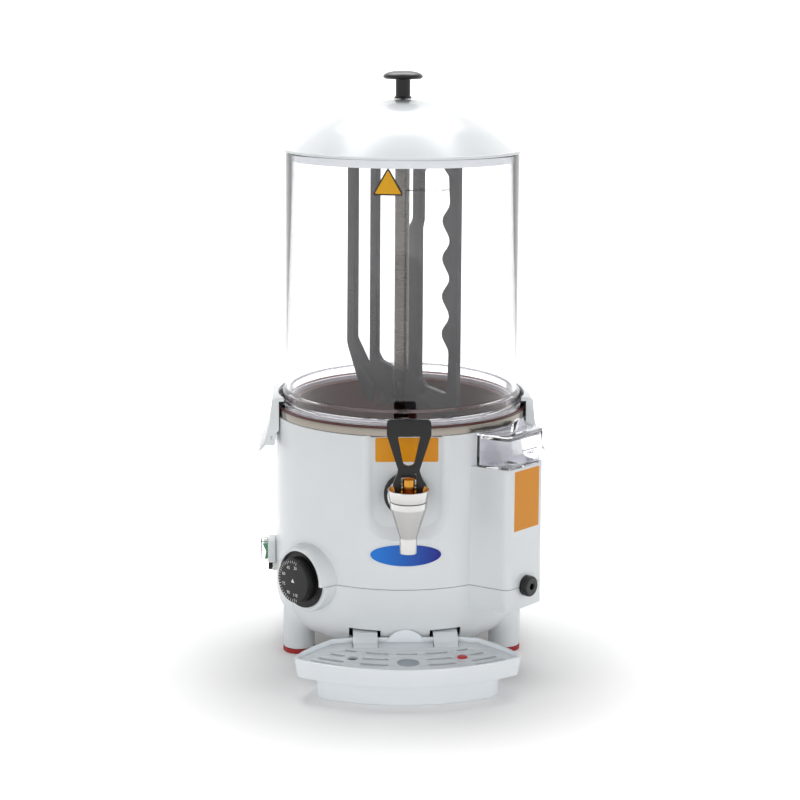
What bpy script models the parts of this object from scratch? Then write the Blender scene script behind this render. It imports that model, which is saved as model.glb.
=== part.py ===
"""Counter-top hot chocolate dispenser: heated drum, clear tank with a slow stirrer, tap and drip tray.

Metres, +Z up, front towards -Y. The origin lies on the table under the middle of the whole object.
All pieces hang on an empty that stands on the axis of the drum.
"""
import math

import bmesh
import bpy
from mathutils import Matrix, Vector

# Driving sizes of the whole machine
DRUM_R = 0.1255
SEAM_Z = 0.085
DRUM_TOP = 0.2336
FLANGE_Z = 0.2432
TANK_R = 0.115
TANK_TOP = 0.492
TANK_WALL = 0.003
LID_RISE = 0.054
TRAY_REACH = 0.214
REAR_REACH = 0.150
LATCH_OUT = 0.016
LATCH_REACH = DRUM_R + LATCH_OUT
TAP_Z = 0.1772
TAP_REACH = 0.170
COLUMN_OUT = 0.035
COLUMN_REACH = DRUM_R + COLUMN_OUT
WALL = 0.003
GAP = 0.0003
OVERRUN = 0.004
BACK_SHIFT = (TRAY_REACH - REAR_REACH) / 2

# Directions round the drum
FRONT = -math.pi / 2
COLUMN_TURN = math.radians(-44)
DIAL_TURN = FRONT - math.radians(47)
STIRRER_TURN = math.radians(-50)

# Facets
BIG_STEPS = 40
MID_STEPS = 20
SMALL_STEPS = 12
TINY_STEPS = 8
MERGE = 0.00001
FILLET_STEPS = 4


def clear_scene():
    for item in list(bpy.data.objects):
        bpy.data.objects.remove(item, do_unlink=True)


def new_collection(name):
    group = bpy.data.collections.new(name)
    bpy.context.scene.collection.children.link(group)
    return group


def new_axis(name, location):
    """An empty on the axis of a joint; what moves with the joint hangs on it."""
    empty = bpy.data.objects.new(name, None)
    PARTS.objects.link(empty)
    empty.parent = AXIS
    empty.location = location
    return empty


def finish(name, colour, roughness, metallic=0.0, alpha=1.0):
    """One Principled material; every piece takes its own copy."""
    material = bpy.data.materials.new(name)
    material.use_nodes = True
    shader = material.node_tree.nodes["Principled BSDF"]
    shader.inputs["Base Color"].default_value = (*colour, 1.0)
    shader.inputs["Roughness"].default_value = roughness
    shader.inputs["Metallic"].default_value = metallic
    shader.inputs["Alpha"].default_value = alpha
    return material


FINISHES = {
    "shell": ((0.80, 0.82, 0.82), 0.25, 0.0, 1.0),
    "clear": ((0.92, 0.92, 0.97), 0.05, 0.0, 0.3),
    "steel": ((0.62, 0.60, 0.55), 0.25, 1.0, 1.0),
    "chrome": ((0.75, 0.75, 0.75), 0.08, 1.0, 1.0),
    "coating": ((0.20, 0.045, 0.03), 0.5, 0.0, 1.0),
    "black": ((0.015, 0.015, 0.017), 0.4, 0.0, 1.0),
    "paddle": ((0.07, 0.07, 0.08), 0.45, 0.0, 1.0),
    "rubber_red": ((0.36, 0.01, 0.01), 0.6, 0.0, 1.0),
    "rubber": ((0.03, 0.03, 0.03), 0.8, 0.0, 1.0),
    "green": ((0.0, 0.22, 0.08), 0.3, 0.0, 1.0),
    "tray": ((0.80, 0.83, 0.86), 0.3, 0.0, 1.0),
    "red": ((0.7, 0.01, 0.01), 0.3, 0.0, 1.0),
    "brass": ((0.60, 0.42, 0.16), 0.3, 1.0, 1.0),
    "grey": ((0.25, 0.26, 0.27), 0.5, 0.0, 1.0),
}


def add_object(name, mesh, finish_name, parent=None, place=None):
    """A named piece on the drum's axis, or on a joint's empty; its place is given from the drum."""
    piece = bpy.data.objects.new(name, mesh)
    PARTS.objects.link(piece)
    piece.parent = parent or AXIS
    place = place or Matrix.Identity(4)
    if parent:
        place = Matrix.Translation(-parent.location) @ place
    piece.matrix_local = place
    if finish_name:
        mesh.materials.append(finish(name, *FINISHES[finish_name]))
    return piece


def as_cutter(piece):
    """Turn a piece into a hidden tool for cuts and unions."""
    PARTS.objects.unlink(piece)
    CUTTERS.objects.link(piece)
    piece.hide_render = True
    piece.display_type = "WIRE"
    return piece


def boolean(piece, tool, operation):
    step = piece.modifiers.new(tool.name, "BOOLEAN")
    step.operation = operation
    step.solver = "EXACT"
    step.object = tool


def cut(piece, *tools):
    for tool in tools:
        boolean(piece, tool, "DIFFERENCE")


def join(piece, *tools):
    for tool in tools:
        boolean(piece, tool, "UNION")


def trim(piece, tool):
    boolean(piece, tool, "INTERSECT")


def smooth(mesh):
    mesh.shade_smooth()
    mesh.set_sharp_from_angle(angle=math.radians(35))


def turned(name, outline, finish_name=None, steps=MID_STEPS, closed=False, parent=None, place=None):
    """A profile of (radius, height) points turned about Z; it runs down the outer side first."""
    mesh = bpy.data.meshes.new(name)
    points = [(radius, 0, height) for radius, height in outline]
    edges = [(index, index + 1) for index in range(len(points) - 1)]
    if closed:
        edges.append((len(points) - 1, 0))
    mesh.from_pydata(points, edges, [])
    piece = add_object(name, mesh, finish_name, parent, place)
    screw = piece.modifiers.new("turn", "SCREW")
    screw.steps = steps
    screw.render_steps = steps
    screw.use_merge_vertices = True
    screw.merge_threshold = MERGE
    screw.use_smooth_shade = True
    return piece


def disc(name, radius, low, high, finish_name=None, steps=MID_STEPS, parent=None, place=None):
    outline = [(0, high), (radius, high), (radius, low), (0, low)]
    return turned(name, outline, finish_name, steps, False, parent, place)


def ring(name, outer, inner, low, high, finish_name=None, steps=MID_STEPS, parent=None, place=None):
    outline = [(outer, high), (outer, low), (inner, low), (inner, high)]
    return turned(name, outline, finish_name, steps, True, parent, place)


def block(name, low, high, finish_name=None, parent=None, place=None, soften=0.0):
    """A box between two corners, with its edges rounded by a Bevel where asked."""
    mesh = bpy.data.meshes.new(name)
    shape = bmesh.new()
    bmesh.ops.create_cube(shape, size=1.0)
    size = Vector(high) - Vector(low)
    bmesh.ops.scale(shape, vec=size, verts=shape.verts)
    bmesh.ops.translate(shape, vec=(Vector(high) + Vector(low)) / 2, verts=shape.verts)
    shape.to_mesh(mesh)
    shape.free()
    piece = add_object(name, mesh, finish_name, parent, place)
    if soften:
        bevel = piece.modifiers.new("edges", "BEVEL")
        bevel.width = soften
        bevel.segments = 2
        bevel.limit_method = "ANGLE"
    return piece


def curve_to_mesh(name, curve):
    """Evaluate a curve, weld its caps and give back a clean closed mesh."""
    holder = bpy.data.objects.new(name + "_curve", curve)
    PARTS.objects.link(holder)
    bpy.context.view_layer.update()
    graph = bpy.context.evaluated_depsgraph_get()
    mesh = bpy.data.meshes.new_from_object(holder.evaluated_get(graph))
    bpy.data.objects.remove(holder, do_unlink=True)
    shape = bmesh.new()
    shape.from_mesh(mesh)
    bmesh.ops.remove_doubles(shape, verts=shape.verts, dist=MERGE)
    bmesh.ops.recalc_face_normals(shape, faces=shape.faces)
    shape.to_mesh(mesh)
    shape.free()
    mesh.name = name
    mesh.materials.clear()
    smooth(mesh)
    return mesh


def add_spline(curve, points, cyclic):
    spline = curve.splines.new("POLY")
    spline.points.add(len(points) - 1)
    for target, point in zip(spline.points, points):
        target.co = (*point, *[0.0] * (3 - len(point)), 1.0)
    spline.use_cyclic_u = cyclic


def plate(name, outline, low, high, finish_name=None, holes=(), parent=None, place=None):
    """A flat outline in X and Y, extruded between two heights."""
    curve = bpy.data.curves.new(name, "CURVE")
    curve.dimensions = "2D"
    curve.fill_mode = "BOTH"
    curve.extrude = (high - low) / 2
    for loop in (outline, *holes):
        add_spline(curve, loop, True)
    mesh = curve_to_mesh(name, curve)
    mesh.transform(Matrix.Translation((0, 0, (high + low) / 2)))
    return add_object(name, mesh, finish_name, parent, place)


def tube(name, points, radius, finish_name=None, sides=2, parent=None, place=None):
    """A round bar or wire along points, with closed ends."""
    curve = bpy.data.curves.new(name, "CURVE")
    curve.dimensions = "3D"
    curve.bevel_depth = radius
    curve.bevel_resolution = sides
    curve.use_fill_caps = True
    add_spline(curve, points, False)
    return add_object(name, curve_to_mesh(name, curve), finish_name, parent, place)


def loft(name, rings, finish_name=None, parent=None, place=None):
    """A closed solid through rings of points, all with the same count."""
    shape = bmesh.new()
    rows = [[shape.verts.new(point) for point in points] for points in rings]
    for near, far in zip(rows, rows[1:]):
        for index in range(len(near)):
            before = index - 1
            shape.faces.new((near[before], near[index], far[index], far[before]))
    shape.faces.new(rows[0])
    shape.faces.new(rows[-1])
    bmesh.ops.recalc_face_normals(shape, faces=shape.faces)
    mesh = bpy.data.meshes.new(name)
    shape.to_mesh(mesh)
    shape.free()
    smooth(mesh)
    return add_object(name, mesh, finish_name, parent, place)


def upright(turn, out=0.0, height=0.0):
    """Frame at a turn round the drum: its X points outward, its Y runs round, its Z is up."""
    move = Matrix.Translation((out * math.cos(turn), out * math.sin(turn), height))
    return move @ Matrix.Rotation(turn, 4, "Z")


def outward(turn, out=0.0, height=0.0):
    """Frame at a turn round the drum whose Z points outward and whose X is up."""
    tip = Matrix.Rotation(math.pi / 2, 4, "Y") @ Matrix.Rotation(math.pi, 4, "Z")
    return upright(turn, out, height) @ tip


def facing(turn, out=0.0, height=0.0):
    """Frame at a turn whose X runs round the drum, whose Y is up and whose Z points outward."""
    columns = Matrix(((0, 0, 1, 0), (1, 0, 0, 0), (0, 1, 0, 0), (0, 0, 0, 1)))
    return upright(turn, out, height) @ columns


def side_face(reach=0.0):
    """Frame whose X and Y are the machine's X and Z, and whose Z points to the front."""
    return Matrix.Translation((0, -reach, 0)) @ Matrix.Rotation(math.pi / 2, 4, "X")


def arc(centre, radius, start, end, steps):
    """Points on an arc between two angles in degrees."""
    found = []
    for index in range(steps + 1):
        angle = math.radians(start + (end - start) * index / steps)
        found.append((centre[0] + radius * math.cos(angle), centre[1] + radius * math.sin(angle)))
    return found


def rounded(outline, radii, steps=FILLET_STEPS):
    """Round the corners of a closed outline, each by at most half of its shorter side."""
    found = []
    count = len(outline)
    if not isinstance(radii, (list, tuple)):
        radii = [radii] * count
    for index, radius in enumerate(radii):
        here = Vector(outline[index])
        if radius <= 0:
            found.append((here.x, here.y))
            continue
        before = Vector(outline[index - 1]) - here
        after = Vector(outline[(index + 1) % count]) - here
        half_turn = before.angle(after) / 2
        room = min(before.length, after.length) / 2
        reach = min(radius / math.tan(half_turn), room)
        start = here + before.normalized() * reach
        end = here + after.normalized() * reach
        for step in range(steps + 1):
            share = step / steps
            point = start * (1 - share) ** 2 + here * 2 * share * (1 - share) + end * share ** 2
            found.append((point.x, point.y))
    return found


def rectangle(half_width, half_height):
    return [(-half_width, -half_height), (half_width, -half_height),
            (half_width, half_height), (-half_width, half_height)]


def mirrored(half):
    """A closed outline from its right half, whose first and last points lie on the middle line."""
    left = [(-x, y) for x, y in reversed(half) if abs(x) > MERGE]
    return list(half) + left


clear_scene()
PARTS = new_collection("hot_chocolate_dispenser")
CUTTERS = new_collection("cutters")
AXIS = bpy.data.objects.new("machine_axis", None)
AXIS.location = (0, BACK_SHIFT, 0)
PARTS.objects.link(AXIS)
SPIN = new_axis("stirrer_axis", (0, 0, 0))

# Rubber pads under the legs
LEG_R = 0.0155
LEG_TOP = 0.056
LEG_FRONT_X = 0.102
LEG_FRONT_Y = -0.046
LEG_REAR_X = 0.093
LEG_REAR_Y = 0.064
PAD_R = 0.0158
PAD_HEIGHT = 0.0048
PAD_CHAMFER = 0.001
LEGS = {
    "front_left": (-LEG_FRONT_X, LEG_FRONT_Y),
    "front_right": (LEG_FRONT_X, LEG_FRONT_Y),
    "rear_left": (-LEG_REAR_X, LEG_REAR_Y),
    "rear_right": (LEG_REAR_X, LEG_REAR_Y),
}


def make_feet():
    outline = [(0, PAD_HEIGHT), (PAD_R, PAD_HEIGHT), (PAD_R, PAD_CHAMFER),
               (PAD_R - PAD_CHAMFER, 0), (0, 0)]
    for name, (x, y) in LEGS.items():
        turned("foot_" + name, outline, "rubber_red", SMALL_STEPS, place=Matrix.Translation((x, y, 0)))


# Water column at the right front, the duct between the filling box and the water bath
COLUMN_ROOT = 0.114
COLUMN_ROOT_HALF = 0.037
COLUMN_HALF = 0.0274
COLUMN_CORNER = 0.010
COLUMN_FOOT_Z = 0.0632
COLUMN_TOP = 0.2017
PIPE_BACK = 0.0205
PIPE_OUT = COLUMN_REACH - PIPE_BACK
PIPE_R = 0.006
PIPE_BORE = 0.0042
PLUG_SHANK_R = 0.0062


def column_outline(inset=0.0, root=COLUMN_ROOT):
    """Plan of the column in its own frame, X outward and Y round the drum."""
    reach = COLUMN_REACH - inset
    corners = [(root, inset - COLUMN_ROOT_HALF), (reach, inset - COLUMN_HALF),
               (reach, COLUMN_HALF - inset), (root, COLUMN_ROOT_HALF - inset)]
    corner = COLUMN_CORNER - inset
    return rounded(corners, [0, corner, corner, 0])


def column_tools():
    """Solid column and the duct inside it, for the lower and the upper housing."""
    place = upright(COLUMN_TURN)
    lower_top = SEAM_Z - GAP / 2
    upper_low = SEAM_Z + GAP / 2
    root = COLUMN_ROOT - OVERRUN
    foot = plate("column_foot", column_outline(), COLUMN_FOOT_Z, lower_top, place=place)
    shaft = plate("column_shaft", column_outline(), upper_low, COLUMN_TOP, place=place)
    low_duct = plate("column_low_duct", column_outline(WALL, root), COLUMN_FOOT_Z + WALL,
                     SEAM_Z + OVERRUN, place=place)
    high_duct = plate("column_high_duct", column_outline(WALL, root), SEAM_Z - OVERRUN,
                      COLUMN_TOP - WALL, place=place)
    pipe_hole = disc("pipe_hole", PIPE_R + GAP, COLUMN_TOP - WALL - OVERRUN, COLUMN_TOP + OVERRUN,
                     steps=SMALL_STEPS, place=upright(COLUMN_TURN, PIPE_OUT))
    plug_hole = disc("plug_hole", PLUG_SHANK_R + GAP, COLUMN_REACH - WALL - OVERRUN,
                     COLUMN_REACH + OVERRUN, steps=SMALL_STEPS,
                     place=outward(COLUMN_TURN, 0, SEAM_Z))
    return {piece.name: as_cutter(piece)
            for piece in (foot, shaft, low_duct, high_duct, pipe_hole, plug_hole)}


# Boss for the dial on the left front; the seam runs through it
DIAL_Z = 0.0868
BOSS_FOOT = 0.112
BOSS_FACE = 0.1335
HOOD_FACE = 0.1388
BOSS_FOOT_R = 0.0345
BOSS_FACE_R = 0.0326
HOOD_R = 0.031
HOOD_MOUTH_R = 0.0277
BEZEL_R = 0.0282
BEZEL_THICK = 0.0025
SPINDLE_R = 0.003
SPINDLE_HOLE_R = 0.006


def half_space(name, upper):
    """A block that keeps what lies above or below the seam."""
    reach = DRUM_R * 2
    low, high = (SEAM_Z + GAP / 2, DRUM_TOP) if upper else (0, SEAM_Z - GAP / 2)
    return as_cutter(block(name, (-reach, -reach, low), (reach, reach, high)))


def dial_tools():
    place = outward(DIAL_TURN, 0, DIAL_Z)
    lower = turned("dial_boss_low", [(0, BOSS_FACE), (BOSS_FACE_R, BOSS_FACE),
                                     (BOSS_FOOT_R, BOSS_FOOT), (0, BOSS_FOOT)], place=place)
    upper = turned("dial_boss_high", [(0, HOOD_FACE), (HOOD_R, HOOD_FACE), (BOSS_FACE_R, BOSS_FACE),
                                      (BOSS_FOOT_R, BOSS_FOOT), (0, BOSS_FOOT)], place=place)
    trim(lower, half_space("below_seam", False))
    trim(upper, half_space("above_seam", True))
    rear = disc("dial_rear_pocket", BOSS_FACE_R - WALL, BOSS_FOOT - OVERRUN, BOSS_FACE - WALL,
                place=place)
    seat_r = BEZEL_R + GAP
    seat_high = BOSS_FACE + BEZEL_THICK + 2 * GAP
    seat = turned("dial_seat", [(0, HOOD_FACE + OVERRUN), (HOOD_MOUTH_R, HOOD_FACE + OVERRUN),
                                (HOOD_MOUTH_R, seat_high), (seat_r, seat_high),
                                (seat_r, BOSS_FACE), (0, BOSS_FACE)], place=place)
    hole = disc("dial_hole", SPINDLE_HOLE_R, BOSS_FOOT, HOOD_FACE + OVERRUN, steps=SMALL_STEPS,
                place=place)
    return {piece.name: as_cutter(piece) for piece in (lower, upper, rear, seat, hole)}


# Hole for the switch, across the seam on the left side, and the one for the cut-out below it
SWITCH_TURN = math.pi
SWITCH_Z = 0.0903
SWITCH_BODY_HALF = 0.0105
SWITCH_BODY_RISE = 0.0088
NECK_R = 0.0055
RESET_Z = 0.073
HOLE_IN = 0.105


def side_tools():
    place = upright(SWITCH_TURN)
    hole = block("switch_hole", (HOLE_IN, -SWITCH_BODY_HALF - GAP, SWITCH_Z - SWITCH_BODY_RISE - GAP),
                 (DRUM_R + OVERRUN, SWITCH_BODY_HALF + GAP, SWITCH_Z + SWITCH_BODY_RISE + GAP),
                 place=place)
    reset = disc("reset_hole", NECK_R + GAP, HOLE_IN, DRUM_R + OVERRUN, steps=SMALL_STEPS,
                 place=outward(SWITCH_TURN, 0, RESET_Z))
    return {piece.name: as_cutter(piece) for piece in (hole, reset)}


# White moulded shell below the seam: rounded belly, leg columns, tray slots
BELLY_TURN_Z = 0.060
BELLY_FLOOR_Z = 0.019
BELLY_FLOOR_R = 0.091
BELLY_STEPS = 5
BASE_HOLE_R = 0.088
SLOT_IN_X = 0.0235
SLOT_OUT_X = 0.0535
SLOT_LOW = 0.028
SLOT_HIGH = 0.0435
SLOT_BACK = 0.100


def belly_curve(radius, floor, steps=BELLY_STEPS):
    """A quarter ellipse from the straight wall down to the flat floor."""
    found = []
    for index in range(steps + 1):
        angle = math.pi / 2 * index / steps
        found.append((BELLY_FLOOR_R + (radius - BELLY_FLOOR_R) * math.cos(angle),
                      BELLY_TURN_Z - (BELLY_TURN_Z - floor) * math.sin(angle)))
    return found


def make_lower_housing(tools):
    top = SEAM_Z - GAP / 2
    inside = belly_curve(DRUM_R - WALL, BELLY_FLOOR_Z + WALL)
    outline = [(DRUM_R, top)] + belly_curve(DRUM_R, BELLY_FLOOR_Z)
    outline += [(BASE_HOLE_R, BELLY_FLOOR_Z), (BASE_HOLE_R, BELLY_FLOOR_Z + WALL)]
    outline += inside[::-1] + [(DRUM_R - WALL, top)]
    shell = turned("lower_housing", outline, "shell", BIG_STEPS, True)
    envelope = as_cutter(disc("leg_envelope", DRUM_R - GAP, 0, LEG_TOP + OVERRUN, steps=BIG_STEPS))
    for name, (x, y) in LEGS.items():
        leg = disc("leg_" + name, LEG_R, PAD_HEIGHT + GAP, LEG_TOP, place=Matrix.Translation((x, y, 0)))
        trim(leg, envelope)
        join(shell, as_cutter(leg))
    join(shell, tools["column_foot"], tools["dial_boss_low"])
    cut(shell, tools["column_low_duct"], tools["plug_hole"], tools["dial_rear_pocket"],
        tools["dial_hole"], tools["switch_hole"], tools["reset_hole"])
    for side in (-1, 1):
        near, far = sorted((side * SLOT_IN_X, side * SLOT_OUT_X))
        slot = block("tray_slot", (near, -DRUM_R, SLOT_LOW), (far, -SLOT_BACK, SLOT_HIGH))
        cut(shell, as_cutter(slot))


# Plate that closes the belly
BASE_LIP = 0.0035
BASE_THICK = 0.0015


def make_base_plate():
    seat = BELLY_FLOOR_Z + WALL + GAP
    low = BELLY_FLOOR_Z + GAP
    outline = [(0, seat + BASE_THICK), (BASE_HOLE_R + BASE_LIP, seat + BASE_THICK),
               (BASE_HOLE_R + BASE_LIP, seat), (BASE_HOLE_R - GAP, seat), (BASE_HOLE_R - GAP, low),
               (0, low)]
    turned("base_plate", outline, "steel", BIG_STEPS)


# Recess in the front of the drum, where the tap is fixed
RECESS_Y = 0.117
RECESS_HALF = 0.031
RECESS_LOW = 0.145
RECESS_CORNER = 0.017
BRIM_HALF = 0.042
BRIM_LOW = 0.1337
BRIM_CORNER = 0.025
RECESS_BACK = 0.1135
RECESS_ROOM = 0.003
TAP_HOLE_R = 0.014


def u_outline(half, low, corner, high):
    right = arc((half - corner, low + corner), corner, 0, -90, FILLET_STEPS)
    left = arc((corner - half, low + corner), corner, -90, -180, FILLET_STEPS)
    return [(half, high)] + right + left + [(-half, high)]


def recess_tool():
    """Loft between the flat floor of the recess and its wider brim on the round wall."""
    high = DRUM_TOP + OVERRUN
    floor = u_outline(RECESS_HALF, RECESS_LOW, RECESS_CORNER, high)
    brim = u_outline(BRIM_HALF, BRIM_LOW, BRIM_CORNER, high)
    rings = [[(x, -RECESS_Y, z) for x, z in floor],
             [(x, -math.sqrt(DRUM_R ** 2 - x ** 2), z) for x, z in brim],
             [(x, -DRUM_R - OVERRUN, z) for x, z in brim]]
    return as_cutter(loft("recess", rings))


# Latch hinge lugs on the sides of the upper housing
LATCH_PIN_X = 0.1288
LATCH_PIN_Z = 0.2133
LATCH_PIN_R = 0.0014
LUG_R = 0.0031
LUG_HALF = 0.009


def latch_lug(side):
    """Small ear on the wall with the bore for the pin."""
    place = Matrix.Rotation(math.pi if side < 0 else 0, 4, "Z") @ side_face()
    root = DRUM_R - WALL / 2
    tip = arc((LATCH_PIN_X, LATCH_PIN_Z), LUG_R, 90, -90, FILLET_STEPS)
    outline = [(root, LATCH_PIN_Z - LUG_R), (root, LATCH_PIN_Z + LUG_R)] + tip
    ear = plate("lug", outline, -LUG_HALF, LUG_HALF, place=place)
    pin = Matrix.Translation((side * LATCH_PIN_X, 0, LATCH_PIN_Z)) @ Matrix.Rotation(math.pi / 2, 4, "X")
    bore = disc("lug_bore", LATCH_PIN_R + GAP, -LUG_HALF - OVERRUN, LUG_HALF + OVERRUN,
                steps=TINY_STEPS, place=pin)
    return as_cutter(ear), as_cutter(bore)


def make_upper_housing(tools):
    outline = [(DRUM_R, DRUM_TOP), (DRUM_R, SEAM_Z + GAP / 2),
               (DRUM_R - WALL, SEAM_Z + GAP / 2), (DRUM_R - WALL, DRUM_TOP)]
    shell = turned("upper_housing", outline, "shell", BIG_STEPS, True)
    back_low = BRIM_LOW - RECESS_ROOM
    backing = block("recess_backing", (-BRIM_HALF - RECESS_ROOM, -DRUM_R, back_low),
                    (BRIM_HALF + RECESS_ROOM, -RECESS_BACK, DRUM_TOP - RECESS_ROOM / 2))
    envelope = as_cutter(disc("drum_envelope", DRUM_R - GAP, 0, DRUM_TOP, steps=BIG_STEPS))
    trim(backing, envelope)
    join(shell, as_cutter(backing), tools["column_shaft"], tools["dial_boss_high"])
    bores = []
    for side in (-1, 1):
        ear, bore = latch_lug(side)
        join(shell, ear)
        bores.append(bore)
    tap_hole = as_cutter(disc("tap_hole", TAP_HOLE_R, RECESS_BACK - OVERRUN, RECESS_Y + OVERRUN,
                              place=outward(FRONT, 0, TAP_Z)))
    cut(shell, recess_tool(), tap_hole, tools["column_high_duct"], tools["pipe_hole"],
        tools["plug_hole"], tools["dial_rear_pocket"], tools["dial_seat"], tools["dial_hole"],
        tools["switch_hole"], *bores)


# Stainless band on top of the drum; the flange of the bowl rests on it
BAND_WALL = 0.0027
BOWL_WALL = 0.0015
BOWL_MOUTH_R = 0.105
BOWL_FLANGE_R = 0.1252
BOWL_FLOOR_Z = 0.160
TUBE_R = 0.0073
TUBE_BORE = 0.0058
SLEEVE_R = 0.0115
SLEEVE_OUTER_Y = 0.1138
SLEEVE_INNER_Y = 0.0905
SHANK_R = 0.007
bowl_shares = [(1.0, 1.0), (0.99, 0.48), (0.91, 0.144), (0.838, 0.036), (0.714, 0.0)]


def make_rim_band():
    ring("rim_band", DRUM_R, DRUM_R - BAND_WALL, DRUM_TOP + GAP, FLANGE_Z - BOWL_WALL - GAP,
         "steel", BIG_STEPS)


def make_basin():
    """Bowl with a flat flange, a bore for the column tube and a sleeve for the tap."""
    depth = FLANGE_Z - BOWL_FLOOR_Z
    inner = [(BOWL_MOUTH_R * across, BOWL_FLOOR_Z + depth * rise) for across, rise in bowl_shares]
    outer = [(radius + BOWL_WALL, height - BOWL_WALL) for radius, height in inner]
    bore = TUBE_R + GAP
    outline = [(BOWL_FLANGE_R, FLANGE_Z), (BOWL_FLANGE_R, FLANGE_Z - BOWL_WALL)] + outer
    outline += [(bore, BOWL_FLOOR_Z - BOWL_WALL), (bore, BOWL_FLOOR_Z)] + inner[::-1]
    basin = turned("basin", outline, "coating", BIG_STEPS, True)
    place = outward(FRONT, 0, TAP_Z)
    sleeve = disc("tap_sleeve", SLEEVE_R, SLEEVE_INNER_Y, SLEEVE_OUTER_Y, place=place)
    hole = disc("sleeve_bore", SHANK_R + GAP, SLEEVE_INNER_Y - OVERRUN, SLEEVE_OUTER_Y + OVERRUN,
                place=place)
    join(basin, as_cutter(sleeve))
    cut(basin, as_cutter(hole))


# Pan of the water bath round the bowl, with the ring heater in its bottom
JACKET_R = 0.1125
JACKET_FLANGE_R = 0.1222
JACKET_WALL = 0.0015
JACKET_FLOOR_Z = 0.146
JACKET_CORNER = 0.004
HEATER_RING_R = 0.070
HEATER_R = 0.0035
HEATER_Z = 0.153
HEATER_GAP = 26
HEATER_STEPS = 18
TERMINAL_DROP = 0.018
FEED_Z = 0.168
DRAIN_OUT = 0.100


def heater_ends():
    """Places where the two ends of the heater pass through the floor of the pan."""
    found = []
    for side in (-1, 1):
        angle = math.radians(90 + side * HEATER_GAP / 2)
        found.append((HEATER_RING_R * math.cos(angle), HEATER_RING_R * math.sin(angle)))
    return found


def make_water_jacket():
    top = FLANGE_Z - BOWL_WALL - GAP
    bore = TUBE_R + GAP
    inner_r = JACKET_R - JACKET_WALL
    floor = JACKET_FLOOR_Z + JACKET_WALL
    outline = [(JACKET_FLANGE_R, top), (JACKET_FLANGE_R, top - JACKET_WALL), (JACKET_R, top - JACKET_WALL),
               (JACKET_R, JACKET_FLOOR_Z + JACKET_CORNER), (JACKET_R - JACKET_CORNER, JACKET_FLOOR_Z),
               (bore, JACKET_FLOOR_Z), (bore, floor), (inner_r - JACKET_CORNER, floor),
               (inner_r, floor + JACKET_CORNER), (inner_r, top)]
    pan = turned("water_jacket", outline, "steel", BIG_STEPS, True)
    holes = [disc("jacket_tap_hole", SLEEVE_R + GAP, inner_r - OVERRUN * 2, JACKET_R + OVERRUN,
                  place=outward(FRONT, 0, TAP_Z)),
             disc("jacket_feed_hole", PIPE_R + GAP, inner_r - OVERRUN, JACKET_R + OVERRUN,
                  steps=SMALL_STEPS, place=outward(COLUMN_TURN, 0, FEED_Z)),
             disc("jacket_drain_hole", PIPE_R + GAP, JACKET_FLOOR_Z - OVERRUN, floor + OVERRUN,
                  steps=SMALL_STEPS, place=upright(COLUMN_TURN, DRAIN_OUT))]
    for x, y in heater_ends():
        holes.append(disc("heater_hole", HEATER_R + GAP, JACKET_FLOOR_Z - OVERRUN, floor + OVERRUN,
                          steps=TINY_STEPS, place=Matrix.Translation((x, y, 0))))
    cut(pan, *[as_cutter(hole) for hole in holes])


def make_heater():
    points = []
    for index in range(HEATER_STEPS + 1):
        angle = math.radians(90 + HEATER_GAP / 2 + (360 - HEATER_GAP) * index / HEATER_STEPS)
        points.append((HEATER_RING_R * math.cos(angle), HEATER_RING_R * math.sin(angle), HEATER_Z))
    right, left = heater_ends()
    low = JACKET_FLOOR_Z - TERMINAL_DROP
    points = [(*left, low), (*left, HEATER_Z - HEATER_R)] + points[1:-1]
    points += [(*right, HEATER_Z - HEATER_R), (*right, low)]
    tube("heater", points, HEATER_R, "steel", 1)


# Clear bowl with a stepped foot, and the ring that seals it on the flange
TANK_LOW = FLANGE_Z + GAP
FOOT_R = 0.1185
FOOT_TOP = 0.2555
FOOT_LOW = 0.249
TANK_FLANGE_R = 0.1235
TANK_FLANGE_TOP = 0.2471
TANK_FLANGE_IN = 0.1204
SHOULDER_RISE = 0.002
SEAL_R = 0.116
SEAL_BORE = 0.1125
SEAL_RISE = 0.0037


def make_tank():
    inner = TANK_R - TANK_WALL
    groove_top = TANK_LOW + SEAL_RISE + GAP
    outline = [(TANK_R, TANK_TOP), (TANK_R, FOOT_TOP + SHOULDER_RISE), (FOOT_R, FOOT_TOP),
               (FOOT_R, FOOT_LOW), (TANK_FLANGE_IN, TANK_FLANGE_TOP), (TANK_FLANGE_R, TANK_FLANGE_TOP),
               (TANK_FLANGE_R, TANK_LOW), (SEAL_R + GAP, TANK_LOW), (SEAL_R + GAP, groove_top),
               (inner, groove_top), (inner, TANK_TOP)]
    turned("tank", outline, "clear", BIG_STEPS, True)
    ring("tank_seal", SEAL_R, SEAL_BORE, TANK_LOW, TANK_LOW + SEAL_RISE, "rubber", BIG_STEPS)


# Domed lid; its skirt drops into the tank and its lip rests on the edge
LID_LIP_R = 0.1165
LID_LIP_LOW = TANK_TOP + GAP
LID_LIP_TOP = 0.4952
LID_SKIRT_LOW = 0.484
LID_SKIRT_WALL = 0.002
LID_WALL = 0.0025
SKIRT_PLAY = 0.0005
LID_SCREW_R = 0.002
dome_shares = [(0.0, 0.944), (0.22, 0.9), (0.37, 0.815), (0.55, 0.67), (0.70, 0.478),
               (0.835, 0.254), (0.95, 0.046)]


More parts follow.
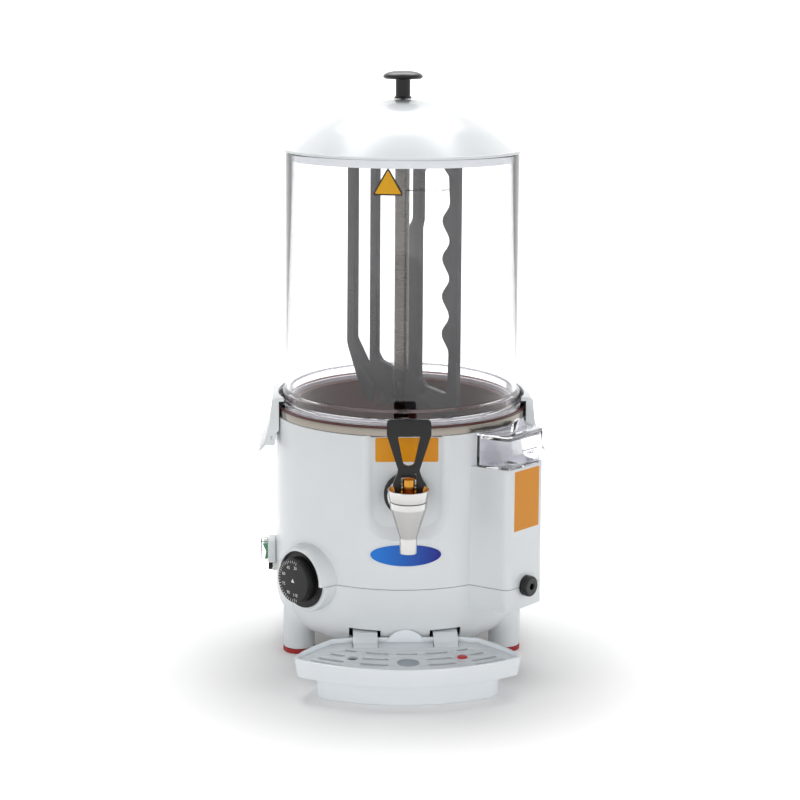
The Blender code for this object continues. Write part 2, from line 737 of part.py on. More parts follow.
def make_lid():
    bore = LID_SCREW_R + GAP
    outer = [(max(bore, LID_LIP_R * across), LID_LIP_LOW + LID_RISE * rise)
             for across, rise in dome_shares]
    inner = [(max(bore, radius - LID_WALL), height - LID_WALL) for radius, height in outer]
    skirt_r = TANK_R - TANK_WALL - SKIRT_PLAY
    skirt_in = skirt_r - LID_SKIRT_WALL
    outline = outer + [(LID_LIP_R, LID_LIP_TOP), (LID_LIP_R, LID_LIP_LOW), (skirt_r, LID_LIP_LOW),
                       (skirt_r, LID_SKIRT_LOW), (skirt_in, LID_SKIRT_LOW), (skirt_in, LID_LIP_LOW)]
    outline += inner[::-1]
    turned("lid", outline, "shell", BIG_STEPS, True)


# Mushroom knob and the screw that holds it
KNOB_TOP = 0.5706
KNOB_R = 0.0195
KNOB_CROWN = 0.005
KNOB_BEVEL = 0.0012
KNOB_LIP = 0.0016
KNOB_RIM_Z = KNOB_TOP - KNOB_CROWN
KNOB_EDGE_Z = KNOB_RIM_Z - KNOB_BEVEL
KNOB_UNDER = KNOB_EDGE_Z - KNOB_LIP
KNOB_STEM_R = 0.0072
KNOB_FLARE = 0.0018
KNOB_FLARE_RISE = 0.003
SCREW_HEAD_R = 0.005
SCREW_HEAD = 0.0025
SCREW_REACH = 0.014
crown_shares = [(0.0, 1.0), (0.45, 0.93), (0.8, 0.62), (0.97, 0.15)]


def make_lid_knob():
    seat = LID_LIP_LOW + LID_RISE * dome_shares[0][1] + GAP
    rise = KNOB_TOP - KNOB_RIM_Z
    bore = LID_SCREW_R + GAP
    flare = KNOB_STEM_R + KNOB_FLARE
    outline = [(KNOB_R * across, KNOB_RIM_Z + rise * up) for across, up in crown_shares]
    outline += [(KNOB_R, KNOB_EDGE_Z), (KNOB_R - KNOB_FLARE, KNOB_UNDER), (KNOB_STEM_R, KNOB_UNDER),
                (KNOB_STEM_R, seat + KNOB_FLARE_RISE), (flare, seat + GAP), (flare, seat),
                (bore, seat), (bore, seat + SCREW_REACH), (0, seat + SCREW_REACH)]
    turned("lid_knob", outline, "black", MID_STEPS)
    head_top = seat - 2 * GAP - LID_WALL
    outline = [(0, seat + SCREW_REACH - GAP), (LID_SCREW_R, seat + SCREW_REACH - GAP),
               (LID_SCREW_R, head_top), (SCREW_HEAD_R, head_top),
               (SCREW_HEAD_R, head_top - SCREW_HEAD), (0, head_top - SCREW_HEAD)]
    turned("lid_screw", outline, "steel", SMALL_STEPS)


# Tube that carries the drive through the bowl, the shaft in it and the driver on top
TUBE_TOP = 0.484
TUBE_LOW = 0.144
SHAFT_R = 0.004
SHAFT_LOW = 0.118
SHAFT_TOP = 0.4960
DRIVER_R = 0.009
DRIVER_TOP = 0.4985
DRIVER_SIDES = 6


def make_column():
    ring("column_tube", TUBE_R, TUBE_BORE, TUBE_LOW, TUBE_TOP, "steel", MID_STEPS)
    disc("drive_shaft", SHAFT_R, SHAFT_LOW, SHAFT_TOP, "steel", SMALL_STEPS, parent=SPIN)
    bore = (SHAFT_R + GAP) / math.cos(math.pi / DRIVER_SIDES)
    ring("drive_coupling", DRIVER_R, bore, TUBE_TOP + GAP, DRIVER_TOP, "steel", DRIVER_SIDES,
         parent=SPIN)


# Paddle frame: a flat plate with two windows, turned about the tube
PADDLE_THICK = 0.006
PADDLE_TOP = 0.499
PADDLE_BAR = 0.486
PADDLE_LOW = 0.2365
PADDLE_LEFT = -0.0806
PADDLE_RIGHT = 0.081
SLOT_HALF = 0.0082
COLLAR_R = 0.0088
COLLAR_LOW = 0.262
COLLAR_HIGH = 0.274
HUB_R = 0.013
HUB_LOW = 0.4847
HUB_TOP = 0.5015
SCALLOP_MID = 0.0654
SCALLOP_DEPTH = 0.0049
SCALLOP_PITCH = 0.036
SCALLOP_TOP = 0.4437
SCALLOP_COUNT = 4
SCALLOP_POINTS = 8
LEFT_BAR_IN = -0.0692
LEFT_BAR_TURN = 0.288
LEFT_HEEL = (-0.0576, 0.2436)
LEFT_TOE = (-0.0421, PADDLE_LOW)
ARCH_LEFT = -0.0405
ARCH_TOP = (-0.036, 0.254)
ARCH_RIGHT = -0.0284
INNER_LEFT = -0.0449
INNER_RIGHT = -0.0358
FLARE_HIGH = 0.285
FLARE_MID = (-0.030, 0.2785)
FLARE_LOW = 0.2738
RIGHT_STEP_Z = 0.422
RIGHT_UPPER = (0.0185, 0.0299)
RIGHT_LOWER = (0.0135, 0.0278)
WINDOW_TOP = 0.4776
WINDOW_LEFT_TOP = 0.4825
WINDOW_EDGE = 0.069
WINDOW_LOW_LEFT = 0.263
WINDOW_LOW_RIGHT = 0.2596
WINDOW_CORNER = 0.009
STEP_FALL = 0.007
ARCH_FALL = 0.0041
ARCH_RISE = 0.0082
WINDOW_LEAN = 0.0015
WINDOW_FALL = 0.0005
WINDOW_TOE = 0.002


def paddle_outline():
    upper, lower = RIGHT_UPPER[0], RIGHT_LOWER[0]
    return [(PADDLE_LEFT, PADDLE_TOP), (PADDLE_LEFT, LEFT_BAR_TURN), LEFT_HEEL, LEFT_TOE,
            (ARCH_LEFT, PADDLE_LOW), (ARCH_LEFT, ARCH_TOP[1] - ARCH_FALL), ARCH_TOP,
            (ARCH_RIGHT, PADDLE_LOW + ARCH_RISE), (ARCH_RIGHT, PADDLE_LOW), (-SLOT_HALF, PADDLE_LOW),
            (-SLOT_HALF, FLARE_LOW), FLARE_MID, (INNER_RIGHT, FLARE_HIGH), (INNER_RIGHT, PADDLE_BAR),
            (upper, PADDLE_BAR), (upper, RIGHT_STEP_Z), (lower, RIGHT_STEP_Z - STEP_FALL),
            (lower, COLLAR_HIGH), (SLOT_HALF, COLLAR_HIGH - ARCH_FALL), (SLOT_HALF, PADDLE_LOW),
            (PADDLE_RIGHT - WINDOW_CORNER, PADDLE_LOW), (PADDLE_RIGHT, PADDLE_LOW + WINDOW_CORNER),
            (PADDLE_RIGHT, PADDLE_TOP)]


def left_window():
    return [(LEFT_BAR_IN, WINDOW_LEFT_TOP), (INNER_LEFT, WINDOW_LEFT_TOP),
            (INNER_LEFT, COLLAR_HIGH), (INNER_LEFT - WINDOW_LEAN, WINDOW_LOW_LEFT + WINDOW_CORNER / 2),
            (LEFT_BAR_IN, LEFT_BAR_TURN + STEP_FALL)]


def right_window():
    upper, lower = RIGHT_UPPER[1], RIGHT_LOWER[1]
    outline = [(upper, RIGHT_STEP_Z), (upper, WINDOW_TOP - WINDOW_CORNER),
               (upper + WINDOW_CORNER, WINDOW_TOP - WINDOW_FALL),
               (WINDOW_EDGE - WINDOW_CORNER, WINDOW_TOP - WINDOW_FALL),
               (WINDOW_EDGE, WINDOW_TOP - WINDOW_CORNER)]
    for index in range(SCALLOP_COUNT * SCALLOP_POINTS + 1):
        share = index / SCALLOP_POINTS
        bulge = SCALLOP_DEPTH * math.cos(2 * math.pi * share)
        outline.append((SCALLOP_MID + bulge, SCALLOP_TOP - SCALLOP_PITCH * share))
    outline += [(WINDOW_EDGE, WINDOW_LOW_RIGHT + WINDOW_CORNER),
                (WINDOW_EDGE - WINDOW_TOE, WINDOW_LOW_RIGHT),
                (lower + WINDOW_CORNER, WINDOW_LOW_LEFT), (lower, WINDOW_LOW_LEFT + WINDOW_CORNER),
                (lower, RIGHT_STEP_Z - STEP_FALL)]
    return outline[::-1]


def make_stirrer():
    place = Matrix.Rotation(STIRRER_TURN, 4, "Z") @ side_face()
    half = PADDLE_THICK / 2
    frame = plate("stirrer", paddle_outline(), -half, half, "paddle", [left_window(), right_window()],
                  parent=SPIN, place=place)
    hub = disc("stirrer_hub", HUB_R, HUB_LOW, HUB_TOP, parent=SPIN)
    collar = ring("stirrer_collar", COLLAR_R, TUBE_R + GAP, COLLAR_LOW, COLLAR_HIGH, parent=SPIN)
    socket = disc("stirrer_socket", DRIVER_R + GAP, HUB_LOW - OVERRUN, DRIVER_TOP + GAP,
                  steps=DRIVER_SIDES, parent=SPIN)
    join(frame, as_cutter(hub), as_cutter(collar))
    cut(frame, as_cutter(socket))


# Slow drive under the pan: plate on posts, gearbox, motor
PLATE_Z = 0.137
PLATE_THICK = 0.0025
PLATE_HALF = 0.052
POST_R = 0.004
POST_PLACE = 0.044
GEARBOX_HALF = 0.036
GEARBOX_LOW = 0.104
MOTOR_R = 0.026
MOTOR_LOW = 0.060
MOTOR_SHIFT = 0.008
MOTOR_BOSS = 0.004


def make_drive():
    plate_top = PLATE_Z + PLATE_THICK
    outline = rounded(rectangle(PLATE_HALF, PLATE_HALF), POST_R)
    carrier = plate("motor_plate", outline, PLATE_Z, plate_top, "steel")
    for x in (-POST_PLACE, POST_PLACE):
        for y in (-POST_PLACE, POST_PLACE):
            post = disc("motor_post", POST_R, PLATE_Z + PLATE_THICK / 2, JACKET_FLOOR_Z - GAP,
                        steps=TINY_STEPS, place=Matrix.Translation((x, y, 0)))
            join(carrier, as_cutter(post))
    bore = disc("shaft_bore", SHAFT_R + GAP, SHAFT_LOW - GAP, plate_top + OVERRUN, steps=SMALL_STEPS)
    clearance = disc("plate_bore", DRIVER_R, PLATE_Z - OVERRUN, plate_top + OVERRUN, steps=SMALL_STEPS)
    cut(carrier, as_cutter(clearance))
    gearbox = block("gearbox", (-GEARBOX_HALF, -GEARBOX_HALF, GEARBOX_LOW),
                    (GEARBOX_HALF, GEARBOX_HALF, PLATE_Z - GAP), "grey")
    cut(gearbox, as_cutter(bore))
    turned("gear_motor", [(0, GEARBOX_LOW - GAP), (MOTOR_R, GEARBOX_LOW - GAP), (MOTOR_R, MOTOR_LOW),
                          (MOTOR_R / 2, MOTOR_LOW), (MOTOR_R / 2, MOTOR_LOW - MOTOR_BOSS),
                          (0, MOTOR_LOW - MOTOR_BOSS)], "steel", MID_STEPS,
           place=Matrix.Translation((MOTOR_SHIFT, 0, 0)))


# Tap: cup with spout, shank through the sleeve, washers and nut
CUP_TOP = 0.184
CUP_R = 0.0174
CUP_WAIST_R = 0.0169
CUP_WAIST_Z = 0.178
SPOUT_TOP = 0.1495
SPOUT_LOW = 0.1348
SPOUT_TOP_R = 0.0082
SPOUT_R = 0.008
SPOUT_BORE = 0.0055
SEAT_LOW = 0.151
SEAT_HIGH = 0.1545
SEAT_R = 0.0075
CHAMBER_LOW_R = 0.0082
CHAMBER_LOW_Z = 0.158
CHAMBER_R = 0.0144
ARM_R = 0.0066
ARM_SINK = 0.0155
ARM_REACH = TAP_REACH - ARM_SINK
TAP_FLANGE_R = 0.018
TAP_FLANGE_THICK = 0.0036
WASHER_R = 0.021
WASHER_THICK = 0.005
SHANK_BORE = 0.0042
SHANK_END = 0.0815
NUT_R = 0.0115
NUT_THICK = 0.006
NUT_SIDES = 6
TAP_SEAL_R = 0.013


def tap_place():
    return Matrix.Translation((0, -TAP_REACH, 0))


def make_tap_body():
    outline = [(CUP_R, CUP_TOP), (CUP_WAIST_R, CUP_WAIST_Z), (SPOUT_TOP_R, SPOUT_TOP),
               (SPOUT_R, SPOUT_LOW), (SPOUT_BORE, SPOUT_LOW), (SPOUT_BORE, SEAT_LOW),
               (SEAT_R, SEAT_HIGH), (CHAMBER_LOW_R, CHAMBER_LOW_Z), (CHAMBER_R, CUP_WAIST_Z),
               (CHAMBER_R, CUP_TOP)]
    cup = turned("tap_body", outline, "chrome", MID_STEPS, True, place=tap_place())
    washer_back = RECESS_Y + GAP
    flange_back = washer_back + WASHER_THICK + GAP
    flange_front = flange_back + TAP_FLANGE_THICK
    outline = [(0, ARM_REACH), (ARM_R, ARM_REACH), (ARM_R, flange_front), (TAP_FLANGE_R, flange_front),
               (TAP_FLANGE_R, flange_back), (SHANK_R, flange_back), (SHANK_R, SHANK_END),
               (0, SHANK_END)]
    place = outward(FRONT, 0, TAP_Z)
    arm = turned("tap_arm", outline, place=place)
    bore = disc("tap_bore", SHANK_BORE, SHANK_END - OVERRUN, TAP_REACH - SHANK_BORE * 2,
                steps=SMALL_STEPS, place=place)
    join(cup, as_cutter(arm))
    cut(cup, as_cutter(bore))
    hole = SHANK_R + GAP
    ring("tap_washer", WASHER_R, hole, washer_back, washer_back + WASHER_THICK, "black", place=place)
    ring("tap_seal", TAP_SEAL_R, hole, SLEEVE_OUTER_Y + GAP, washer_back - GAP, "rubber", place=place)
    nut_hole = hole / math.cos(math.pi / NUT_SIDES)
    ring("tap_nut", NUT_R, nut_hole, SLEEVE_INNER_Y - GAP - NUT_THICK, SLEEVE_INNER_Y - GAP, "steel",
         NUT_SIDES, place=place)


# Bonnet ring on the cup, with the guide bore of the valve stem
BONNET_TOP = 0.1955
BONNET_R = 0.0194
BONNET_LOW_R = 0.0176
BONNET_MOUTH_R = 0.0178
BONNET_FLOOR_R = 0.0158
BONNET_FLOOR = 0.1892
BONNET_FLOOR_WALL = 0.0024
BONNET_SKIRT_R = 0.015
STEM_R = 0.0028


def make_bonnet():
    low = CUP_TOP + GAP
    under = BONNET_FLOOR - BONNET_FLOOR_WALL
    bore = STEM_R + GAP
    outline = [(BONNET_R, BONNET_TOP), (BONNET_LOW_R, low), (BONNET_SKIRT_R, low),
               (BONNET_SKIRT_R, under), (bore, under), (bore, BONNET_FLOOR),
               (BONNET_FLOOR_R, BONNET_FLOOR), (BONNET_MOUTH_R, BONNET_TOP)]
    turned("tap_bonnet", outline, "chrome", MID_STEPS, True, place=tap_place())


# Valve stem with its slotted head, rubber cone and return spring
PIN_Z = 0.197
PIN_R = 0.0014
PIN_HALF = 0.0132
HEAD_R = 0.0056
HEAD_TOP = 0.205
HEAD_CHAMFER = 0.0005
HEAD_SLOT_LOW = 0.191
HEAD_SLOT_HIGH = 0.199
COLLAR_PLATE_R = 0.006
COLLAR_PLATE_LOW = 0.1578
COLLAR_PLATE_TOP = 0.160
CONE_TOP_R = 0.0073
CONE_TIP_R = 0.0054
CONE_SHOULDER = 0.1552
CONE_TIP = 0.1513
SPRING_R = 0.0049
WIRE_R = 0.0007
SPRING_TURNS = 5
TURN_POINTS = 8


def make_stem():
    place = tap_place()
    outline = [(0, HEAD_TOP), (HEAD_R - HEAD_CHAMFER, HEAD_TOP), (HEAD_R, HEAD_TOP - HEAD_CHAMFER),
               (HEAD_R, BONNET_FLOOR + GAP), (STEM_R, BONNET_FLOOR + GAP), (STEM_R, COLLAR_PLATE_TOP),
               (COLLAR_PLATE_R, COLLAR_PLATE_TOP), (COLLAR_PLATE_R, COLLAR_PLATE_LOW),
               (0, COLLAR_PLATE_LOW)]
    stem = turned("tap_plunger", outline, "brass", MID_STEPS, parent=STEM, place=place)
    half = PIN_R + GAP
    slot = block("stem_slot", (-HEAD_R * 2, -half, HEAD_SLOT_LOW), (HEAD_R * 2, half, HEAD_SLOT_HIGH),
                 parent=STEM, place=place)
    cut(stem, as_cutter(slot))
    top = COLLAR_PLATE_LOW - GAP
    outline = [(0, top), (CONE_TOP_R, top), (CONE_TOP_R, CONE_SHOULDER), (CONE_TIP_R, CONE_TIP),
               (0, CONE_TIP)]
    turned("plunger_seal", outline, "rubber", MID_STEPS, parent=STEM, place=place)


def make_spring():
    """One unbroken wire, wound between the collar of the stem and the bonnet."""
    low = COLLAR_PLATE_TOP + GAP + WIRE_R
    high = BONNET_FLOOR - BONNET_FLOOR_WALL - GAP - WIRE_R
    count = SPRING_TURNS * TURN_POINTS
    points = []
    for index in range(count + 1):
        angle = 2 * math.pi * index / TURN_POINTS
        points.append((SPRING_R * math.cos(angle), SPRING_R * math.sin(angle),
                       low + (high - low) * index / count))
    pitch = (high - low) / SPRING_TURNS
    print("tap spring: least gap between turns", round((pitch - 2 * WIRE_R) * 1000, 2), "mm")
    tube("tap_spring", points, WIRE_R, "steel", 1, place=tap_place())


# Loop lever: its fork stands over the head of the stem and turns about the pin
LEVER_HALF = 0.003
LEVER_TOP = 0.2607
LEVER_BAR_HALF = 0.0203
LEVER_BAR_LOW = 0.2466
LEVER_NECK_HALF = 0.0096
LEVER_NECK_Z = 0.213
LEVER_SHOULDER_HALF = 0.0147
LEVER_SHOULDER_Z = 0.200
LEG_HALF = 0.0129
LEG_IN = 0.007
LEG_LOW = 0.190
CROTCH_Z = 0.2105
LOOP_HALF = 0.0105
LOOP_TOP = 0.2455
LOOP_LOW_HALF = 0.0052
LOOP_LOW = 0.2175
LEVER_FILLET = 0.003


def make_lever():
    flare = (LEVER_NECK_Z + LEVER_SHOULDER_Z) / 2
    half = [(0, LEVER_TOP), (LEVER_BAR_HALF, LEVER_TOP), (LEVER_BAR_HALF, LEVER_BAR_LOW),
            (LEVER_NECK_HALF, LEVER_NECK_Z), ((LEVER_NECK_HALF + LEVER_SHOULDER_HALF) / 2, flare),
            (LEVER_SHOULDER_HALF, LEVER_SHOULDER_Z), (LEG_HALF, (LEVER_SHOULDER_Z + LEG_LOW) / 2),
            (LEG_HALF, LEG_LOW), (LEG_IN, LEG_LOW), (LEG_IN, CROTCH_Z), (0, CROTCH_Z)]
    outline = mirrored(half)
    radii = [0 if abs(x) < MERGE else LEVER_FILLET for x, z in outline]
    loop = [(-LOOP_HALF, LOOP_TOP), (LOOP_HALF, LOOP_TOP), (LOOP_LOW_HALF, LOOP_LOW),
            (-LOOP_LOW_HALF, LOOP_LOW)]
    place = side_face(TAP_REACH)
    lever = plate("tap_lever", rounded(outline, radii, 2), -LEVER_HALF, LEVER_HALF, "black",
                  [rounded(loop, LEVER_FILLET, 2)], parent=LEVER, place=place)
    across = tap_place() @ Matrix.Translation((0, 0, PIN_Z)) @ Matrix.Rotation(math.pi / 2, 4, "Y")
    bore = disc("lever_bore", PIN_R + GAP, -PIN_HALF * 2, PIN_HALF * 2, steps=TINY_STEPS,
                parent=LEVER, place=across)
    cut(lever, as_cutter(bore))
    disc("tap_pin", PIN_R, -PIN_HALF, PIN_HALF, "steel", TINY_STEPS, parent=LEVER, place=across)


# Side clips that hold the tank down: pin, white channel and black hook pad
LATCH_HALF = 0.038
LATCH_CHEEK = 0.002
LATCH_PLATE = 0.002
LATCH_INNER = 0.112
LATCH_CLEAR_R = 0.1273
HOOK_UNDER = 0.2496
HOOK_CLEAR_R = 0.1227
HOOK_TIP = (0.1168, 0.2538)
HOOK_TOP = (0.1233, 0.2529)
HOOK_SHOULDER = (0.1283, 0.2512)
LATCH_BELLY = (0.1304, 0.2305)
LATCH_FOOT = (0.136, 0.2085)
LATCH_HEEL = (0.1342, 0.2062)
LATCH_CHIN = (0.1257, 0.2056)
LATCH_CHEEK_IN = (0.125, 0.210)
LATCH_CHEEK_MID = (0.1234, 0.2203)
TAIL_Z = 0.2006
TAIL_THICK = 0.0012
PAD_LIP_R = 0.1212
PAD_OUT_R = 0.1268
PAD_IN_R = 0.1259
PAD_LIP_LOW = 0.2474
PAD_TOP = 0.2493
PAD_LOW = 0.234
PAD_SPAN = math.radians(17.2)
PAD_STEPS = 6


def latch_outline():
    inner = LATCH_INNER
    return [(inner, HOOK_UNDER), (inner, HOOK_TIP[1]), HOOK_TIP, HOOK_TOP, HOOK_SHOULDER, LATCH_BELLY,
            LATCH_FOOT, (LATCH_REACH, TAIL_Z), (LATCH_REACH - TAIL_THICK, TAIL_Z - TAIL_THICK / 2),
            LATCH_HEEL, LATCH_CHIN, LATCH_CHEEK_IN, LATCH_CHEEK_MID, (inner, LATCH_CHEEK_MID[1])]


def latch_pocket():
    """Room for the hinge ear between the cheeks, open below."""
    inner = LATCH_INNER - OVERRUN
    top = HOOK_UNDER - WALL
    return [(inner, top), (HOOK_SHOULDER[0] - LATCH_PLATE + GAP, top),
            (LATCH_BELLY[0] - LATCH_PLATE, LATCH_BELLY[1]), (LATCH_FOOT[0] - LATCH_PLATE, LATCH_FOOT[1]),
            (LATCH_HEEL[0], LATCH_HEEL[1] - OVERRUN), (inner, LATCH_HEEL[1] - OVERRUN)]


def make_latch(side):
    name = "left" if side < 0 else "right"
    axis = new_axis("latch_axis_" + name, (side * LATCH_PIN_X, 0, LATCH_PIN_Z))
    spin = Matrix.Rotation(math.pi if side < 0 else 0, 4, "Z")
    place = spin @ side_face()
    body = plate("latch_" + name, latch_outline(), -LATCH_HALF, LATCH_HALF, "shell", parent=axis,
                 place=place)
    outline = [(0, HOOK_TIP[1] + OVERRUN), (HOOK_CLEAR_R, HOOK_TIP[1] + OVERRUN),
               (HOOK_CLEAR_R, HOOK_UNDER), (LATCH_CLEAR_R, HOOK_UNDER),
               (LATCH_CLEAR_R, LATCH_HEEL[1] - OVERRUN), (0, LATCH_HEEL[1] - OVERRUN)]
    drum = turned("latch_clearance", outline, None, BIG_STEPS, parent=axis)
    inner = LATCH_HALF - LATCH_CHEEK
    pocket = plate("latch_pocket", latch_pocket(), -inner, inner, parent=axis, place=place)
    across = spin @ Matrix.Translation((LATCH_PIN_X, 0, LATCH_PIN_Z)) @ Matrix.Rotation(math.pi / 2, 4, "X")
    bore = disc("latch_bore", LATCH_PIN_R + GAP, -LATCH_HALF - OVERRUN, LATCH_HALF + OVERRUN,
                steps=TINY_STEPS, parent=axis, place=across)
    cut(body, as_cutter(drum), as_cutter(pocket), as_cutter(bore))
    disc("latch_pin_" + name, LATCH_PIN_R, -LATCH_HALF, LATCH_HALF, "steel", TINY_STEPS, place=across)
    rings = []
    for index in range(PAD_STEPS + 1):
        angle = PAD_SPAN * (2 * index / PAD_STEPS - 1)
        section = [(PAD_LIP_R, PAD_TOP), (PAD_OUT_R, PAD_TOP), (PAD_OUT_R, PAD_LOW), (PAD_IN_R, PAD_LOW),
                   (PAD_IN_R, PAD_LIP_LOW), (PAD_LIP_R, PAD_LIP_LOW)]
        rings.append([(radius * math.cos(angle), radius * math.sin(angle), z) for radius, z in section])
    loft("latch_pad_" + name, rings, "rubber", parent=axis, place=spin)


# Dial: bezel ring, knob with its spindle, and the control behind the wall
BEZEL_BORE = 0.0062
KNOB_FACE = 0.147
KNOB_DIAL_R = 0.022
KNOB_ROUND = 0.0015
SPINDLE_END = 0.112
CONTROL_HALF = 0.017
CONTROL_BACK = 0.100
BULB_R = 0.003
BULB_LOW = 0.155
BULB_HIGH = 0.200
BULB_TURN = math.radians(200)


def make_dial():
    place = outward(DIAL_TURN, 0, DIAL_Z)
    low = BOSS_FACE + GAP
    ring("thermostat_bezel", BEZEL_R, BEZEL_BORE, low, low + BEZEL_THICK, "black", place=place)
    face_low = low + BEZEL_THICK + GAP
    axis = new_axis("dial_axis", outward(DIAL_TURN, BOSS_FACE, DIAL_Z).to_translation())
    outline = [(0, KNOB_FACE), (KNOB_DIAL_R - KNOB_ROUND, KNOB_FACE), (KNOB_DIAL_R, KNOB_FACE - KNOB_ROUND),
               (KNOB_DIAL_R, face_low), (SPINDLE_R, face_low), (SPINDLE_R, SPINDLE_END),
               (0, SPINDLE_END)]
    turned("thermostat_knob", outline, "black", MID_STEPS, parent=axis, place=place)
    body = block("thermostat_body", (CONTROL_BACK, -CONTROL_HALF, DIAL_Z - CONTROL_HALF),
                 (BOSS_FACE - WALL - GAP, CONTROL_HALF, DIAL_Z + CONTROL_HALF), "grey",
                 place=upright(DIAL_TURN))
    bore = disc("control_bore", SPINDLE_R + GAP, SPINDLE_END - GAP, BOSS_FACE, steps=SMALL_STEPS,
                place=place)
    cut(body, as_cutter(bore))
    disc("thermostat_bulb", BULB_R, BULB_LOW, BULB_HIGH, "brass", TINY_STEPS,
         place=upright(BULB_TURN, JACKET_R + GAP + BULB_R))


# Switch on the left side with its rocker and clear cover
PAD_FACE = 0.1335
PAD_BACK = 0.1258
PAD_HALF = 0.0135
PAD_RISE = 0.01125
PAD_SOFT = 0.0015
BODY_BACK = 0.104
RECESS_DEPTH_OUT = 0.1275
ROCKER_HALF = 0.0085
ROCKER_WELL_RISE = 0.0095
ROCKER_WELL_HALF = 0.009
ROCKER_PIVOT = 0.1315
ROCKER_ROOT = (-0.002, 0.0055)
ROCKER_EDGE = (0.0066, 0.0083)
ROCKER_NOTCH = 0.0042
ROCKER_TILT = math.radians(-7)
COVER_REACH = 0.141
COVER_HALF = 0.0115
COVER_RISE = 0.0108
COVER_WALL = 0.0012


def make_switch():
    place = upright(SWITCH_TURN, 0, SWITCH_Z)
    body = block("switch_body", (PAD_BACK, -PAD_HALF, -PAD_RISE), (PAD_FACE, PAD_HALF, PAD_RISE),
                 "shell", place=place, soften=PAD_SOFT)
    core = block("switch_core", (BODY_BACK, -SWITCH_BODY_HALF, -SWITCH_BODY_RISE),
                 (PAD_BACK + PAD_SOFT * 2, SWITCH_BODY_HALF, SWITCH_BODY_RISE), place=place)
    well = block("switch_well", (RECESS_DEPTH_OUT, -ROCKER_WELL_HALF, -ROCKER_WELL_RISE),
                 (PAD_FACE + OVERRUN, ROCKER_WELL_HALF, ROCKER_WELL_RISE), place=place)
    join(body, as_cutter(core))
    cut(body, as_cutter(well))
    axis = new_axis("rocker_axis", upright(SWITCH_TURN, ROCKER_PIVOT, SWITCH_Z).to_translation())
    root_out, root_rise = ROCKER_ROOT
    edge_out, edge_rise = ROCKER_EDGE
    outline = [(root_out, -root_rise), (edge_out, -edge_rise), (ROCKER_NOTCH, 0), (edge_out, edge_rise),
               (root_out, root_rise)]
    tilted = Matrix.Rotation(ROCKER_TILT, 2)
    outline = [tuple(tilted @ Vector(point)) for point in outline]
    stand = upright(SWITCH_TURN, ROCKER_PIVOT, SWITCH_Z) @ Matrix.Rotation(math.pi / 2, 4, "X")
    plate("switch_rocker", outline, -ROCKER_HALF, ROCKER_HALF, "green", parent=axis, place=stand)
    cover = block("switch_cover", (PAD_FACE + GAP, -COVER_HALF, -COVER_RISE),
                  (COVER_REACH, COVER_HALF, COVER_RISE), "clear", place=place)
    inner = COVER_HALF - COVER_WALL
    room = block("cover_room", (PAD_FACE - OVERRUN, -inner, COVER_WALL - COVER_RISE),
                 (COVER_REACH - COVER_WALL, inner, COVER_RISE - COVER_WALL), place=place)
    cut(cover, as_cutter(room))


# Safety cut-out with its reset button
NECK_FACE = 0.129
CUTOUT_FACE = 0.1213
CUTOUT_R = 0.008
CUTOUT_BACK = 0.100
BUTTON_R = 0.0044
BUTTON_FACE = 0.1332
BUTTON_STEM_R = 0.0025
BUTTON_TRAVEL = 0.002
STEM_WELL = 0.108
CAP_WELL = 0.1265


def make_cutout():
    place = outward(SWITCH_TURN, 0, RESET_Z)
    outline = [(0, STEM_WELL), (BUTTON_STEM_R + GAP, STEM_WELL), (BUTTON_STEM_R + GAP, CAP_WELL),
               (BUTTON_R + GAP, CAP_WELL), (BUTTON_R + GAP, NECK_FACE), (NECK_R, NECK_FACE),
               (NECK_R, CUTOUT_FACE), (CUTOUT_R, CUTOUT_FACE), (CUTOUT_R, CUTOUT_BACK), (0, CUTOUT_BACK)]
    turned("safety_cutout", outline, "shell", SMALL_STEPS, place=place)
    axis = new_axis("reset_axis", outward(SWITCH_TURN, NECK_FACE, RESET_Z).to_translation())
    low = NECK_FACE + GAP
    end = STEM_WELL + BUTTON_TRAVEL + GAP
    outline = [(0, BUTTON_FACE), (BUTTON_R, BUTTON_FACE), (BUTTON_R, low), (BUTTON_STEM_R, low),
               (BUTTON_STEM_R, end), (0, end)]
    turned("reset_button", outline, "black", SMALL_STEPS, parent=axis, place=place)


# Filling box of the water bath on top of the column, its lid, pipes and drain plug
BOX_CLEAR = 0.0007
BOX_BACK = DRUM_R + BOX_CLEAR
BOX_WALL = 0.002
BOX_TOP = 0.2322
LID_PLATE = 0.0018
LID_PLUG = 0.003
TAB_OUT = 0.148
TAB_HALF_THICK = 0.00125
TAB_MIDDLE = 0.002
TAB_HALF = 0.0105
TAB_TOP = 0.246
PIPE_BEND = 0.010
PIPE_END = 0.1465
PLUG_HEAD_R = 0.010
PLUG_HEAD = 0.0078
PLUG_HOLE_R = 0.003
PLUG_HOLE_DEPTH = 0.004
PLUG_CHAMFER = 0.001


def box_outline(inset=0.0):
    slope = (COLUMN_ROOT_HALF - COLUMN_HALF) / (COLUMN_REACH - COLUMN_ROOT)
    back_half = COLUMN_ROOT_HALF - slope * (BOX_BACK - COLUMN_ROOT) - inset
    reach = COLUMN_REACH - inset
    corner = COLUMN_CORNER - inset
    corners = [(BOX_BACK + inset, -back_half), (reach, inset - COLUMN_HALF),
               (reach, COLUMN_HALF - inset), (BOX_BACK + inset, back_half)]
    return rounded(corners, [0, corner, corner, 0])


